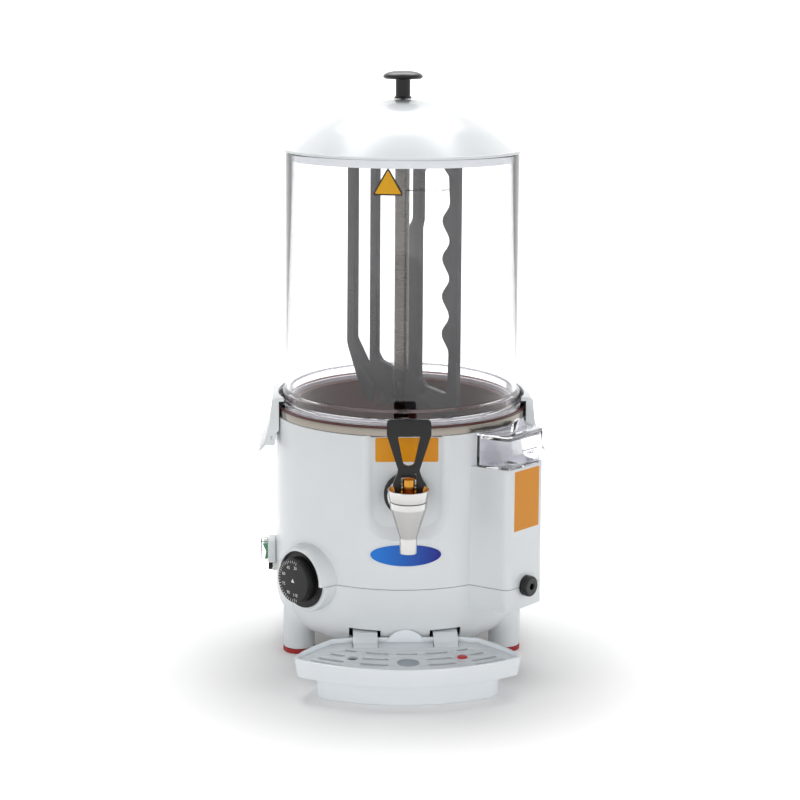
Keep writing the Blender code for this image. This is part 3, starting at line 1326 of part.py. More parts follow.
def bent_pipe(name, points, finish_name):
    """A pipe with its bore, round one bend."""
    pipe = tube(name, points, PIPE_R, finish_name, 2)
    start = Vector(points[0]) + (Vector(points[0]) - Vector(points[1])).normalized() * OVERRUN
    end = Vector(points[-1]) + (Vector(points[-1]) - Vector(points[-2])).normalized() * OVERRUN
    bore = tube(name + "_bore", [tuple(start)] + points[1:-1] + [tuple(end)], PIPE_BORE, None, 2)
    cut(pipe, as_cutter(bore))


def along_column(outline):
    """Points of a plane through the column, given as reach and height, in the drum's frame."""
    return [(out * math.cos(COLUMN_TURN), out * math.sin(COLUMN_TURN), height) for out, height in outline]


def make_water_box():
    place = upright(COLUMN_TURN)
    low = COLUMN_TOP + GAP
    box = plate("water_box", box_outline(), low, BOX_TOP, "clear", place=place)
    room = plate("box_room", box_outline(BOX_WALL), low + BOX_WALL, BOX_TOP + OVERRUN, place=place)
    hole = disc("box_hole", PIPE_R + GAP, low - OVERRUN, low + BOX_WALL + OVERRUN, steps=SMALL_STEPS,
                place=upright(COLUMN_TURN, PIPE_OUT))
    cut(box, as_cutter(room), as_cutter(hole))
    axis = new_axis("box_lid_axis", upright(COLUMN_TURN, PIPE_OUT, BOX_TOP).to_translation())
    seat = BOX_TOP + GAP
    lid = plate("water_box_lid", box_outline(), seat, seat + LID_PLATE, "clear", parent=axis, place=place)
    plug = plate("box_lid_plug", box_outline(BOX_WALL + GAP), BOX_TOP - LID_PLUG, seat + LID_PLATE / 2,
                 parent=axis, place=place)
    tab_low = seat + LID_PLATE / 2
    crown = arc((TAB_MIDDLE, TAB_TOP - TAB_HALF), TAB_HALF, 0, 180, FILLET_STEPS * 2)
    outline = [(TAB_MIDDLE - TAB_HALF, tab_low), (TAB_MIDDLE + TAB_HALF, tab_low)] + crown
    tab = plate("box_lid_tab", outline, -TAB_HALF_THICK, TAB_HALF_THICK, parent=axis,
                place=facing(COLUMN_TURN, TAB_OUT))
    join(lid, as_cutter(plug), as_cutter(tab))
    bend = arc((PIPE_OUT - PIPE_BEND, FEED_Z + PIPE_BEND), PIPE_BEND, 0, -90, FILLET_STEPS)
    bent_pipe("level_pipe", along_column([(PIPE_OUT, low + BOX_WALL)] + bend
                                         + [(JACKET_R - JACKET_WALL, FEED_Z)]), "steel")
    bend = arc((DRAIN_OUT + PIPE_BEND, SEAM_Z + PIPE_BEND), PIPE_BEND, -90, -180, FILLET_STEPS)
    bent_pipe("drain_pipe", along_column([(PIPE_END, SEAM_Z)] + bend
                                         + [(DRAIN_OUT, JACKET_FLOOR_Z + JACKET_WALL)]), "steel")


def make_drain_plug():
    place = outward(COLUMN_TURN, 0, SEAM_Z)
    axis = new_axis("plug_axis", outward(COLUMN_TURN, COLUMN_REACH, SEAM_Z).to_translation())
    low = COLUMN_REACH + GAP
    face = low + PLUG_HEAD
    outline = [(0, face - PLUG_HOLE_DEPTH), (PLUG_HOLE_R, face - PLUG_HOLE_DEPTH), (PLUG_HOLE_R, face),
               (PLUG_HEAD_R - PLUG_CHAMFER, face), (PLUG_HEAD_R, face - PLUG_CHAMFER),
               (PLUG_HEAD_R, low), (PLUG_SHANK_R, low), (PLUG_SHANK_R, PIPE_END + GAP),
               (0, PIPE_END + GAP)]
    turned("drain_plug", outline, "black", MID_STEPS, parent=axis, place=place)


# Drip tray: rim, deep bottom, hooks that reach into the housing, grid and float
TRAY_ARC_Y = -0.029
TRAY_TOP = 0.038
TRAY_SKIRT_LOW = 0.020
TRAY_DRAFT = 0.003
TRAY_WALL = 0.0035
TRAY_LEDGE = 0.007
LEDGE_Z = 0.0312
TRAY_FLOOR_Z = 0.023
TRAY_BACK = 0.1215
TRAY_BACK_HALF = 0.052
TRAY_CORNER_X = 0.1015
TRAY_ARC_STEPS = 8
PAN_REACH = 0.2035
PAN_BACK = 0.128
PAN_HALF = 0.084
PAN_CORNER_X = 0.0785
PAN_WALL = 0.0025
side_places = [(0.0715, -0.126), (0.088, -0.145), (0.098, -0.159), (0.1045, -0.172), (0.105, -0.180)]
pan_places = [(0.080, -0.142), (0.084, -0.151), (0.084, -0.178)]
HOOK_IN_X = 0.0267
HOOK_OUT_X = 0.0498
hook_places = [(-0.100, 0.0388), (-0.100, 0.0418), (-0.1215, 0.0418), (-0.127, 0.0395),
               (-0.133, 0.0362), (-0.140, 0.0345), (-0.140, 0.022), (-0.1275, 0.022),
               (-0.1275, 0.0345), (-0.1215, 0.0388)]
TAB_ROUND_R = 0.020
TAB_ROUND_Z = 0.0258
TAB_FACE_Y = 0.1259
TAB_BACK_Y = 0.1234


def front_arc(reach, corner_x):
    """Points on the front edge from its right end to the middle."""
    radius = reach + TRAY_ARC_Y
    start = math.acos(corner_x / radius)
    found = []
    for index in range(TRAY_ARC_STEPS + 1):
        angle = start + (math.pi / 2 - start) * index / TRAY_ARC_STEPS
        found.append((radius * math.cos(angle), TRAY_ARC_Y - radius * math.sin(angle)))
    found[-1] = (0, -reach)
    return found


def inset_outline(outline, distance):
    """Move every side of a closed outline inward by the same distance."""
    count = len(outline)
    area = sum(outline[i - 1][0] * outline[i][1] - outline[i][0] * outline[i - 1][1] for i in range(count))
    turn = 1 if area > 0 else -1
    found = []
    for index in range(count):
        here = Vector(outline[index])
        before = (here - Vector(outline[index - 1])).normalized()
        after = (Vector(outline[(index + 1) % count]) - here).normalized()
        normal = Vector((-before.y, before.x)) + Vector((-after.y, after.x))
        normal.normalize()
        room = distance / max(normal.dot(Vector((-before.y, before.x))), 0.2)
        point = here + normal * room * turn
        found.append((point.x, point.y))
    return found


def tray_outline():
    half = [(0, -TRAY_BACK), (TRAY_BACK_HALF, -TRAY_BACK)] + side_places
    return mirrored(half + front_arc(TRAY_REACH, TRAY_CORNER_X))


def pan_outline():
    half = [(0, -PAN_BACK)] + [(pan_places[0][0] - PAN_HALF / 4, -PAN_BACK)] + pan_places
    return mirrored(half + front_arc(PAN_REACH, PAN_CORNER_X))


def make_tray():
    rim = tray_outline()
    rings = [[(x, y, TRAY_SKIRT_LOW) for x, y in inset_outline(rim, TRAY_DRAFT)],
             [(x, y, TRAY_TOP) for x, y in rim]]
    tray = loft("drip_tray", rings, "tray", parent=TRAY)
    pan = plate("tray_pan", pan_outline(), 0, TRAY_SKIRT_LOW + GAP * 2, parent=TRAY)
    join(tray, as_cutter(pan))
    cuts = [plate("tray_mouth", inset_outline(rim, TRAY_WALL), LEDGE_Z, TRAY_TOP + OVERRUN, parent=TRAY),
            plate("tray_room", inset_outline(rim, TRAY_LEDGE), TRAY_FLOOR_Z, LEDGE_Z + OVERRUN,
                  parent=TRAY),
            plate("pan_room", inset_outline(pan_outline(), PAN_WALL), PAN_WALL,
                  TRAY_FLOOR_Z + OVERRUN, parent=TRAY)]
    cut(tray, *[as_cutter(piece) for piece in cuts])
    for side in (-1, 1):
        near, far = sorted((side * HOOK_IN_X, side * HOOK_OUT_X))
        hook = plate("tray_hook", hook_places, near, far, parent=TRAY, place=facing(0))
        join(tray, as_cutter(hook))
    tab = plate("tray_tab", arc((0, TAB_ROUND_Z), TAB_ROUND_R, 10, 170, FILLET_STEPS * 3),
                TAB_BACK_Y, TAB_FACE_Y, parent=TRAY, place=side_face())
    join(tray, as_cutter(tab))


# Slotted grid and the level float
GRID_THICK = 0.0025
GRID_PLAY = 0.0005
GRID_BACK = 0.1264
NOTCH_IN_X = 0.026
NOTCH_OUT_X = 0.0506
NOTCH_FRONT = 0.1405
GRID_SLOT_HALF = 0.0023
FLOAT_X = 0.051
FLOAT_Y = -0.1695
FLOAT_R = 0.0048
FLOAT_BODY_R = 0.0085
FLOAT_BODY_TOP = 0.014
FLOAT_TOP = 0.0355
DISH_R = 0.011
DISH_Y = -0.183
DISH_DEPTH = 0.001
SLOT_STEPS = 4
ROW_INNER_R = 0.131
ROW_MIDDLE_R = 0.1465
ROW_OUTER_R = 0.1615
ROW_FRONT_R = 0.1725
grid_rows = [(ROW_INNER_R, ((-3.5, 3.5), (8.3, 16.4), (21.8, 25.5))),
             (ROW_MIDDLE_R, ((7.7, 16), (24.2, 28.6))), (ROW_OUTER_R, ((7.2, 15.4), (22.3, 30.2))),
             (ROW_FRONT_R, ((21.4, 31.3),))]


def arc_slot(radius, start, end):
    """A slot along an arc about the centre of the front edge, angles from the front in degrees."""
    outer = arc((0, TRAY_ARC_Y), radius + GRID_SLOT_HALF, start - 90, end - 90, SLOT_STEPS)
    inner = arc((0, TRAY_ARC_Y), radius - GRID_SLOT_HALF, end - 90, start - 90, SLOT_STEPS)
    return outer + inner


def grid_outline():
    inset = inset_outline(tray_outline(), TRAY_WALL + GRID_PLAY)
    half = [(0, -GRID_BACK), (NOTCH_IN_X, -GRID_BACK), (NOTCH_IN_X, -NOTCH_FRONT),
            (NOTCH_OUT_X, -NOTCH_FRONT), (NOTCH_OUT_X, -GRID_BACK)]
    half += [(x, y) for x, y in inset if x > NOTCH_OUT_X and y < -GRID_BACK]
    front = [(x, y) for x, y in inset if MERGE < x <= NOTCH_OUT_X and y < -NOTCH_FRONT]
    half += front + [(0, -(TRAY_REACH - TRAY_WALL - GRID_PLAY))]
    return mirrored(half)


def make_grid():
    low = LEDGE_Z + GAP
    holes = []
    for radius, spans in grid_rows:
        for start, end in spans:
            holes.append(arc_slot(radius, start, end))
            if start > 0:
                holes.append(arc_slot(radius, -end, -start))
    hole_r = FLOAT_R + GAP
    for x in (-FLOAT_X, FLOAT_X):
        holes.append(arc((x, FLOAT_Y), hole_r, 0, 360 - 360 / SMALL_STEPS, SMALL_STEPS - 1))
    grid = plate("drip_grid", grid_outline(), low, low + GRID_THICK, "tray", holes, parent=GRID)
    dish = disc("grid_dish", DISH_R, low + GRID_THICK - DISH_DEPTH, low + GRID_THICK + OVERRUN,
                parent=GRID, place=Matrix.Translation((0, DISH_Y, 0)))
    cut(grid, as_cutter(dish))
    outline = [(0, FLOAT_TOP), (FLOAT_R, FLOAT_TOP), (FLOAT_R, FLOAT_BODY_TOP),
               (FLOAT_BODY_R, FLOAT_BODY_TOP), (FLOAT_BODY_R, PAN_WALL + GAP), (0, PAN_WALL + GAP)]
    turned("tray_float", outline, "red", SMALL_STEPS, parent=FLOAT,
           place=Matrix.Translation((FLOAT_X, FLOAT_Y, 0)))


# Terminal cover on the back with the inlet of the lead
COVER_ROOT = 0.112
COVER_HALF_WIDTH = 0.045
COVER_LOW = 0.040
COVER_HIGH = 0.150
COVER_SOFT = 0.004
GLAND_OUT = 0.1385
GLAND_NECK_R = 0.005
GLAND_BORE = 0.0035
GLAND_NUT_R = 0.008
GLAND_NUT_LOW = 0.0335
GLAND_TIP_R = 0.006
GLAND_LOW = 0.026
GLAND_TOP = 0.047


def make_rear_cover():
    place = upright(math.pi / 2)
    cover = block("rear_cover", (COVER_ROOT, -COVER_HALF_WIDTH, COVER_LOW),
                  (REAR_REACH, COVER_HALF_WIDTH, COVER_HIGH), "shell", place=place, soften=COVER_SOFT)
    inner = COVER_HALF_WIDTH - WALL
    room = block("rear_room", (COVER_ROOT - OVERRUN, -inner, COVER_LOW + WALL),
                 (REAR_REACH - WALL, inner, COVER_HIGH - WALL), place=place)
    drum = disc("rear_drum", DRUM_R + GAP, COVER_LOW - OVERRUN, COVER_HIGH + OVERRUN, steps=BIG_STEPS)
    spot = upright(math.pi / 2, GLAND_OUT)
    hole = disc("gland_hole", GLAND_NECK_R + GAP, COVER_LOW - OVERRUN, COVER_LOW + WALL + OVERRUN,
                steps=SMALL_STEPS, place=spot)
    cut(cover, as_cutter(drum), as_cutter(room), as_cutter(hole))
    nut_top = COVER_LOW - GAP
    outline = [(GLAND_NECK_R, GLAND_TOP), (GLAND_NECK_R, nut_top), (GLAND_NUT_R, nut_top),
               (GLAND_NUT_R, GLAND_NUT_LOW), (GLAND_TIP_R, GLAND_LOW), (GLAND_BORE, GLAND_LOW),
               (GLAND_BORE, GLAND_TOP)]
    turned("cable_gland", outline, "black", SMALL_STEPS, True, place=spot)


LEVER = new_axis("lever_axis", (0, -TAP_REACH, PIN_Z))
STEM = new_axis("stem_axis", (0, -TAP_REACH, BONNET_FLOOR))
TRAY = new_axis("tray_axis", (0, -TRAY_BACK, LEDGE_Z))
GRID = new_axis("grid_axis", (0, -TRAY_BACK, LEDGE_Z))
FLOAT = new_axis("float_axis", (FLOAT_X, FLOAT_Y, PAN_WALL))

shared_tools = {**column_tools(), **dial_tools(), **side_tools()}
make_feet()
make_lower_housing(shared_tools)
make_base_plate()
make_upper_housing(shared_tools)
make_rim_band()
make_basin()
make_water_jacket()
make_heater()
make_tank()
make_lid()
make_lid_knob()
make_column()
make_stirrer()
make_drive()
make_tap_body()
make_bonnet()
make_stem()
make_spring()
make_lever()
make_latch(-1)
make_latch(1)
make_dial()
make_switch()
make_cutout()
make_water_box()
make_drain_plug()
make_tray()
make_grid()
make_rear_cover()
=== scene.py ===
"""Counter-top hot chocolate dispenser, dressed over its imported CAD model."""

import math

import bmesh
import bpy
from mathutils import Matrix, Vector


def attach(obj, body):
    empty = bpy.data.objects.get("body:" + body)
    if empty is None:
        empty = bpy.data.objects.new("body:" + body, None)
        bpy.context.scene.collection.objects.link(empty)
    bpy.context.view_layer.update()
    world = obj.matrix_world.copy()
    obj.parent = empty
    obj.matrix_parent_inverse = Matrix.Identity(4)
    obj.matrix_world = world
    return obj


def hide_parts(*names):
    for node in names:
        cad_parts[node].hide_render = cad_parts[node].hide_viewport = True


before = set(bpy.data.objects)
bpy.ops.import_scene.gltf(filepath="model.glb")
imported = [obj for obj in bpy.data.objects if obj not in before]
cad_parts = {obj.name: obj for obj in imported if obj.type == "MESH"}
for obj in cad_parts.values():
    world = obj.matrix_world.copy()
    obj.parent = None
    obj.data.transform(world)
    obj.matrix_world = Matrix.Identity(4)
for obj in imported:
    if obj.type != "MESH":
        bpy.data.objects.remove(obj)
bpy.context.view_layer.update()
mm = 0.001

# Camera at the photograph's place: a long lens a little above the lid's height, to the left of the
# front, tipped down by nine degrees. The axis of the drum stands 32 mm behind the origin.
DRUM_AXIS = Vector((0, 32, 0))
CAMERA_PLACE = (DRUM_AXIS + Vector((-80.2, -1837.2, 630))) * mm
CAMERA_PITCH = math.radians(9)
CAMERA_HEADING = math.radians(2.5)
CAMERA_ROLL = math.radians(0.35)
PIXELS = 800
FOCAL_PIXELS = 1873
AXIS_PIXEL = (401.7, 305.6)

lens = bpy.data.cameras.new("photo_camera")
lens.sensor_width = 36
lens.lens = FOCAL_PIXELS / PIXELS * lens.sensor_width
lens.shift_x = (PIXELS / 2 - AXIS_PIXEL[0]) / PIXELS
lens.shift_y = (AXIS_PIXEL[1] - PIXELS / 2) / PIXELS
camera = bpy.data.objects.new("photo_camera", lens)
bpy.context.scene.collection.objects.link(camera)
camera.matrix_world = (Matrix.Translation(CAMERA_PLACE)
                       @ Matrix.Rotation(-CAMERA_HEADING, 4, "Z")
                       @ Matrix.Rotation(math.pi / 2 - CAMERA_PITCH, 4, "X")
                       @ Matrix.Rotation(CAMERA_ROLL, 4, "Z"))
bpy.context.scene.camera = camera
bpy.context.scene.view_settings.view_transform = "Standard"


# Studio: a white sweep under and behind the machine, lit by the white room and by four large
# soft boxes. To the eye, and in glass and gloss, the sweep is brighter away from the machine, so
# the background is white and the shadow under the machine stays.
def linear(code, level=1.0):
    """Linear colour of an sRGB hex value, made darker or lighter by a level."""
    parts = [int(code[place:place + 2], 16) / 255 for place in (1, 3, 5)]
    parts = [part / 12.92 if part <= 0.04045 else ((part + 0.055) / 1.055) ** 2.4 for part in parts]
    return [min(1.0, part * level) for part in parts] + [1.0]


def add_node(tree, kind, links=(), **settings):
    """A node with its settings; links go from (node, output) to this node's input sockets."""
    node = tree.nodes.new("ShaderNode" + kind)
    for name, value in settings.items():
        if hasattr(node, name):
            setattr(node, name, value)
        else:
            socket = node.inputs[name.replace("_", " ")]
            socket.default_value = value
    for target, (source, output) in dict(links).items():
        tree.links.new(source.outputs[output], node.inputs[target])
    return node


def new_material(name):
    material = bpy.data.materials.new(name)
    material.use_nodes = True
    material.node_tree.nodes.clear()
    return material, material.node_tree


def show_shader(tree, shader, output="BSDF"):
    add_node(tree, "OutputMaterial", {"Surface": (shader, output)})


def seen_directly(tree):
    """One for the rays of the eye, of gloss and of glass, and zero for the light on the machine."""
    rays = add_node(tree, "LightPath")
    seen = add_node(tree, "Math", {0: (rays, "Is Camera Ray"), 1: (rays, "Is Glossy Ray")},
                    operation="MAXIMUM")
    return add_node(tree, "Math", {0: (seen, "Value"), 1: (rays, "Is Transmission Ray")}, operation="MAXIMUM")


SWEEP = "#ECECEC"
GLOW_NEAR = 0.1
GLOW_FAR = 0.85
GLOW_REACH = (0.12, 0.5)
ROOM_LOW = 0.8
ROOM_HIGH = 0.1
ROOM_HIGH_FROM = 0.7
world = bpy.data.worlds.new("white_room")
bpy.context.scene.world = world
world.use_nodes = True
world.node_tree.nodes.clear()
seen = seen_directly(world.node_tree)
where = add_node(world.node_tree, "TexCoord")
height = add_node(world.node_tree, "SeparateXYZ", {"Vector": (where, "Generated")})
level = add_node(world.node_tree, "MapRange", {"Value": (height, "Z")}, From_Max=ROOM_HIGH_FROM,
                 To_Min=ROOM_LOW, To_Max=ROOM_HIGH)
strength = add_node(world.node_tree, "MapRange", {"Value": (seen, "Value"), "To Min": (level, "Result")})
room = add_node(world.node_tree, "Background", {"Strength": (strength, "Result")}, Color=linear("#FFFFFF"))
add_node(world.node_tree, "OutputWorld", {"Surface": (room, "Background")})

sweep_paint, tree = new_material("white_studio_paper")
seen = seen_directly(tree)
where = add_node(tree, "NewGeometry")
away = add_node(tree, "VectorMath", {0: (where, "Position")}, operation="LENGTH")
glow = add_node(tree, "MapRange", {"Value": (away, "Value")}, From_Min=GLOW_REACH[0],
                From_Max=GLOW_REACH[1], To_Min=GLOW_NEAR, To_Max=GLOW_FAR,
                interpolation_type="SMOOTHSTEP")
glow = add_node(tree, "Math", {0: (glow, "Result"), 1: (seen, "Value")}, operation="MULTIPLY")
paper = add_node(tree, "BsdfDiffuse", Color=linear(SWEEP))
light = add_node(tree, "Emission", {"Strength": (glow, "Value")}, Color=linear("#FFFFFF"))
both = add_node(tree, "AddShader", {0: (paper, "BSDF"), 1: (light, "Emission")})
show_shader(tree, both, "Shader")

SWEEP_HALF = 3.0
SWEEP_BACK = 2.2
SWEEP_HEIGHT = 3.0
BEND_R = 0.8
BEND_STEPS = 16
sweep_line = [(-SWEEP_HALF, 0.0), (SWEEP_BACK - BEND_R, 0.0)]
for step in range(1, BEND_STEPS + 1):
    angle = math.pi / 2 * step / BEND_STEPS
    sweep_line.append((SWEEP_BACK - BEND_R + BEND_R * math.sin(angle), BEND_R - BEND_R * math.cos(angle)))
sweep_line.append((SWEEP_BACK, SWEEP_HEIGHT))
shape = bmesh.new()
rows = [[shape.verts.new((x, y, z)) for y, z in sweep_line] for x in (-SWEEP_HALF, SWEEP_HALF)]
for index in range(len(sweep_line) - 1):
    shape.faces.new((rows[0][index], rows[1][index], rows[1][index + 1], rows[0][index + 1]))
sweep_mesh = bpy.data.meshes.new("sweep")
shape.to_mesh(sweep_mesh)
shape.free()
sweep_mesh.shade_smooth()
sweep_mesh.materials.append(sweep_paint)
sweep = bpy.data.objects.new("sweep", sweep_mesh)
bpy.context.scene.collection.objects.link(sweep)

SOFT_BOXES = {
    "left_soft_box": ((-1.5, -1.1, 0.8), (0.9, 1.3), 6),
    "right_soft_box": ((1.5, -0.9, 0.8), (0.8, 1.3), 5),
    "top_soft_box": ((0.0, 0.7, 1.8), (1.4, 1.0), 28),
    "low_soft_box": ((0.0, -1.6, 0.15), (1.6, 0.3), 5),
}
AIM = Vector((0, 0, 0.28))
for name, (place, size, power) in SOFT_BOXES.items():
    lamp = bpy.data.lights.new(name, "AREA")
    lamp.shape = "RECTANGLE"
    lamp.size, lamp.size_y = size
    lamp.energy = power
    box = bpy.data.objects.new(name, lamp)
    bpy.context.scene.collection.objects.link(box)
    box.location = place
    box.visible_glossy = name == "top_soft_box"
    box.visible_transmission = False
    box.rotation_euler = (AIM - Vector(place)).to_track_quat("-Z", "Y").to_euler()


# Lower housing: one injection moulding of glossy white ABS from the seam down. It has a rounded
# belly, four leg columns, the foot of the filling column and two slots for the tray's hooks.
DRUM_R = 125.5
WALL = 3
SEAM_Z = 85
SEAM_GAP = 0.3
BELLY_TURN_Z = 60
BELLY_FLOOR_Z = 19
BELLY_FLOOR_R = 91
BELLY_HOLE_R = 88
ROUND_STEPS = 128
LEG_R = 15.5
LEG_TOP = 60
LEG_LOW = 5.1
LEGS = {"front_left": (-102, -46), "front_right": (102, -46), "rear_left": (-93, 64),
        "rear_right": (93, 64)}
EDGE_R = 0.8
SHARP = math.radians(32)
STRAIGHT = math.radians(4)
MOST_ROUND = 0.48
HERE = Matrix.Identity(4)


def moulded_plastic(name, code, roughness, grain=0.25, dent=0.02, shade=0.04, **more):
    """Moulded plastic: a faint grain in the gloss, and a slow drift of tone over the whole piece."""
    material, tree = new_material(name)
    where = add_node(tree, "TexCoord")
    fine = add_node(tree, "TexNoise", {"Vector": (where, "Object")}, Scale=1 / (4 * grain * mm), Detail=3.0)
    slow = add_node(tree, "TexNoise", {"Vector": (where, "Object")}, Scale=14.0, Detail=2.0)
    tone = add_node(tree, "MixRGB", {0: (slow, "Fac")}, Color1=linear(code, 1 - shade),
                    Color2=linear(code, 1 + shade))
    rough = add_node(tree, "MapRange", {"Value": (slow, "Fac")}, To_Min=roughness * 0.85,
                     To_Max=roughness * 1.15)
    bump = add_node(tree, "Bump", {"Height": (fine, "Fac")}, Strength=0.12, Distance=dent * mm)
    shader = add_node(tree, "BsdfPrincipled", {"Base Color": (tone, "Color"),
                      "Roughness": (rough, "Result"), "Normal": (bump, "Normal")}, IOR=1.53, **more)
    show_shader(tree, shader)
    return material


white_abs = moulded_plastic("moulded_white_abs", "#E4E8EA", 0.22)


def arc(centre, radius, start, end, steps=6):
    """Points on an arc, angles in degrees."""
    found = []
    for step in range(steps + 1):
        angle = math.radians(start + (end - start) * step / steps)
        found.append((centre[0] + radius * math.cos(angle), centre[1] + radius * math.sin(angle)))
    return found


def eased(points, rounds, steps=3):
    """The same line with its corners rounded; rounds is one radius, or a list with one for each."""
    found = []
    count = len(points)
    radii = rounds if isinstance(rounds, (list, tuple)) else [rounds] * count
    for index, point in enumerate(points):
        here = Vector(point)
        before = Vector(points[index - 1]) - here
        after = Vector(points[(index + 1) % count]) - here
        turn = before.angle(after, math.pi)
        if radii[index] <= 0 or math.pi - turn < STRAIGHT:
            found.append(tuple(here))
            continue
        reach = min(radii[index] / math.tan(turn / 2), before.length * MOST_ROUND,
                    after.length * MOST_ROUND)
        start = here + before.normalized() * reach
        end = here + after.normalized() * reach
        for step in range(steps + 1):
            share = step / steps
            found.append(tuple(start * (1 - share) ** 2 + here * (2 * share * (1 - share))
                               + end * share ** 2))
    return found


def turned_mesh(profile, rounds=0, ease=3, steps=ROUND_STEPS):
    """A profile of (radius, height), its corners rounded, turned about Z."""
    shape = bmesh.new()
    rings = []
    for radius, height in eased(profile, rounds, ease):
        if radius == 0:
            rings.append([shape.verts.new((0, 0, height))])
            continue
        ring = []
        for step in range(steps):
            angle = 2 * math.pi * step / steps
            ring.append(shape.verts.new((radius * math.cos(angle), radius * math.sin(angle), height)))
        rings.append(ring)
    for upper, lower in zip(rings, rings[1:] + rings[:1]):
        for step in range(steps):
            corners = [upper[step % len(upper)], lower[step % len(lower)],
                       lower[(step + 1) % len(lower)], upper[(step + 1) % len(upper)]]
            corners = [vert for place, vert in enumerate(corners) if vert not in corners[:place]]
            if len(corners) > 2:
                shape.faces.new(corners)
    bmesh.ops.recalc_face_normals(shape, faces=shape.faces)
    mesh = bpy.data.meshes.new("turned")
    shape.to_mesh(mesh)
    shape.free()
    return mesh


def bore_mesh(radius, low, high, steps=48):
    """A round peg or cutter between two heights."""
    return turned_mesh([(0, high), (radius, high), (radius, low), (0, low)], steps=steps)


def slab_mesh(outline, low, high, holes=(), edge=0.0, segments=2):
    """A flat outline extruded between two heights, with its rims rounded."""
    curve = bpy.data.curves.new("slab", "CURVE")
    curve.dimensions = "2D"
    curve.fill_mode = "BOTH"
    curve.extrude = (high - low) / 2
    for loop in (outline, *holes):
        spline = curve.splines.new("POLY")
        spline.points.add(len(loop) - 1)
        for target, point in zip(spline.points, loop):
            target.co = (point[0], point[1], 0.0, 1.0)
        spline.use_cyclic_u = True
    mesh = mesh_of(curve)
    mesh.transform(Matrix.Translation((0, 0, (high + low) / 2)))
    if edge:
        soften(mesh, edge, segments)
    return mesh


def mesh_of(curve):
    """A curve's mesh with its caps welded on."""
    holder = bpy.data.objects.new("holder", curve)
    bpy.context.scene.collection.objects.link(holder)
    bpy.context.view_layer.update()
    mesh = bpy.data.meshes.new_from_object(holder.evaluated_get(bpy.context.evaluated_depsgraph_get()))
    bpy.data.objects.remove(holder, do_unlink=True)
    shape = bmesh.new()
    shape.from_mesh(mesh)
    bmesh.ops.remove_doubles(shape, verts=shape.verts, dist=0.002)
    bmesh.ops.recalc_face_normals(shape, faces=shape.faces)
    shape.to_mesh(mesh)
    shape.free()
    return mesh


def soften(mesh, width, segments=2, least=math.radians(40)):
    """Round every edge that turns by more than the least angle."""
    shape = bmesh.new()
    shape.from_mesh(mesh)
    edges = [edge for edge in shape.edges
             if len(edge.link_faces) == 2 and edge.calc_face_angle(0) > least]
    bmesh.ops.bevel(shape, geom=edges, offset=width, offset_type="OFFSET", segments=segments,
                    profile=0.5, affect="EDGES", clamp_overlap=True)
    shape.to_mesh(mesh)
    shape.free()


def block_mesh(low, high, edge=0.0, segments=2):
    """A box between two corners with rounded edges."""
    shape = bmesh.new()
    bmesh.ops.create_cube(shape, size=1.0)
    bmesh.ops.scale(shape, vec=Vector(high) - Vector(low), verts=shape.verts)
    bmesh.ops.translate(shape, vec=(Vector(high) + Vector(low)) / 2, verts=shape.verts)
    mesh = bpy.data.meshes.new("block")
    shape.to_mesh(mesh)
    shape.free()
    if edge:
        soften(mesh, edge, segments)
    return mesh


def loft_mesh(rings):
    """A closed solid through rings of points, all with the same count."""
    shape = bmesh.new()
    rows = [[shape.verts.new(point) for point in points] for points in rings]
    for near, far in zip(rows, rows[1:]):
        for index in range(len(near)):
            shape.faces.new((near[index - 1], near[index], far[index], far[index - 1]))
    shape.faces.new(rows[0])
    shape.faces.new(rows[-1])
    bmesh.ops.recalc_face_normals(shape, faces=shape.faces)
    mesh = bpy.data.meshes.new("loft")
    shape.to_mesh(mesh)
    shape.free()
    return mesh


def in_metres(place):
    """A place in millimetres from the drum's axis, in the scene's metres."""
    return Matrix.Scale(mm, 4) @ Matrix.Translation(DRUM_AXIS) @ place @ Matrix.Scale(1 / mm, 4)


def new_object(name, mesh, place):
    """A mesh made in millimetres, as an object in the scene."""
    mesh.transform(Matrix.Scale(mm, 4))
    made = bpy.data.objects.new(name, mesh)
    bpy.context.scene.collection.objects.link(made)
    made.matrix_world = in_metres(place)
    return made


def shaped(piece, joins, cuts):
    """The piece's mesh with other meshes, each given with its place, joined on and cut out."""
    tools = []
    for group, operation in ((joins, "UNION"), (cuts, "DIFFERENCE")):
        for mesh, place in group:
            step = piece.modifiers.new("shape", "BOOLEAN")
            step.operation = operation
            step.solver = "EXACT"
            step.object = new_object("tool", mesh, place)
            tools.append(step.object)
    bpy.context.view_layer.update()
    mesh = bpy.data.meshes.new_from_object(piece.evaluated_get(bpy.context.evaluated_depsgraph_get()))
    piece.modifiers.clear()
    for tool in tools:
        bpy.data.objects.remove(tool, do_unlink=True)
    return mesh


def new_piece(name, mesh, material, body, slot, *nodes, place=HERE, joins=(), cuts=()):
    """A piece that moves with its body, takes the given material as its finish and stands for the nodes. The
    slot is not used.
    """
    piece = new_object(name, mesh, place)
    if joins or cuts:
        piece.data = shaped(piece, joins, cuts)
    piece.data.name = name
    piece.data.materials.clear()
    piece.data.materials.append(material)
    piece.data.shade_smooth()
    piece.data.set_sharp_from_angle(angle=SHARP)
    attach(piece, body)
    if nodes:
        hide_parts(*nodes)
    return piece


def paint_faces(piece, material, chosen):
    """A second material on the faces that are chosen by their middle, in millimetres, and direction."""
    piece.data.materials.append(material)
    for face in piece.data.polygons:
        if chosen(face.center / mm, face.normal):
            face.material_index = 1


def upright(turn, out=0.0, height=0.0):
    """Frame at a turn round the drum: X outward, Y round the drum, Z up."""
    return (Matrix.Translation((out * math.cos(turn), out * math.sin(turn), height))
            @ Matrix.Rotation(turn, 4, "Z"))


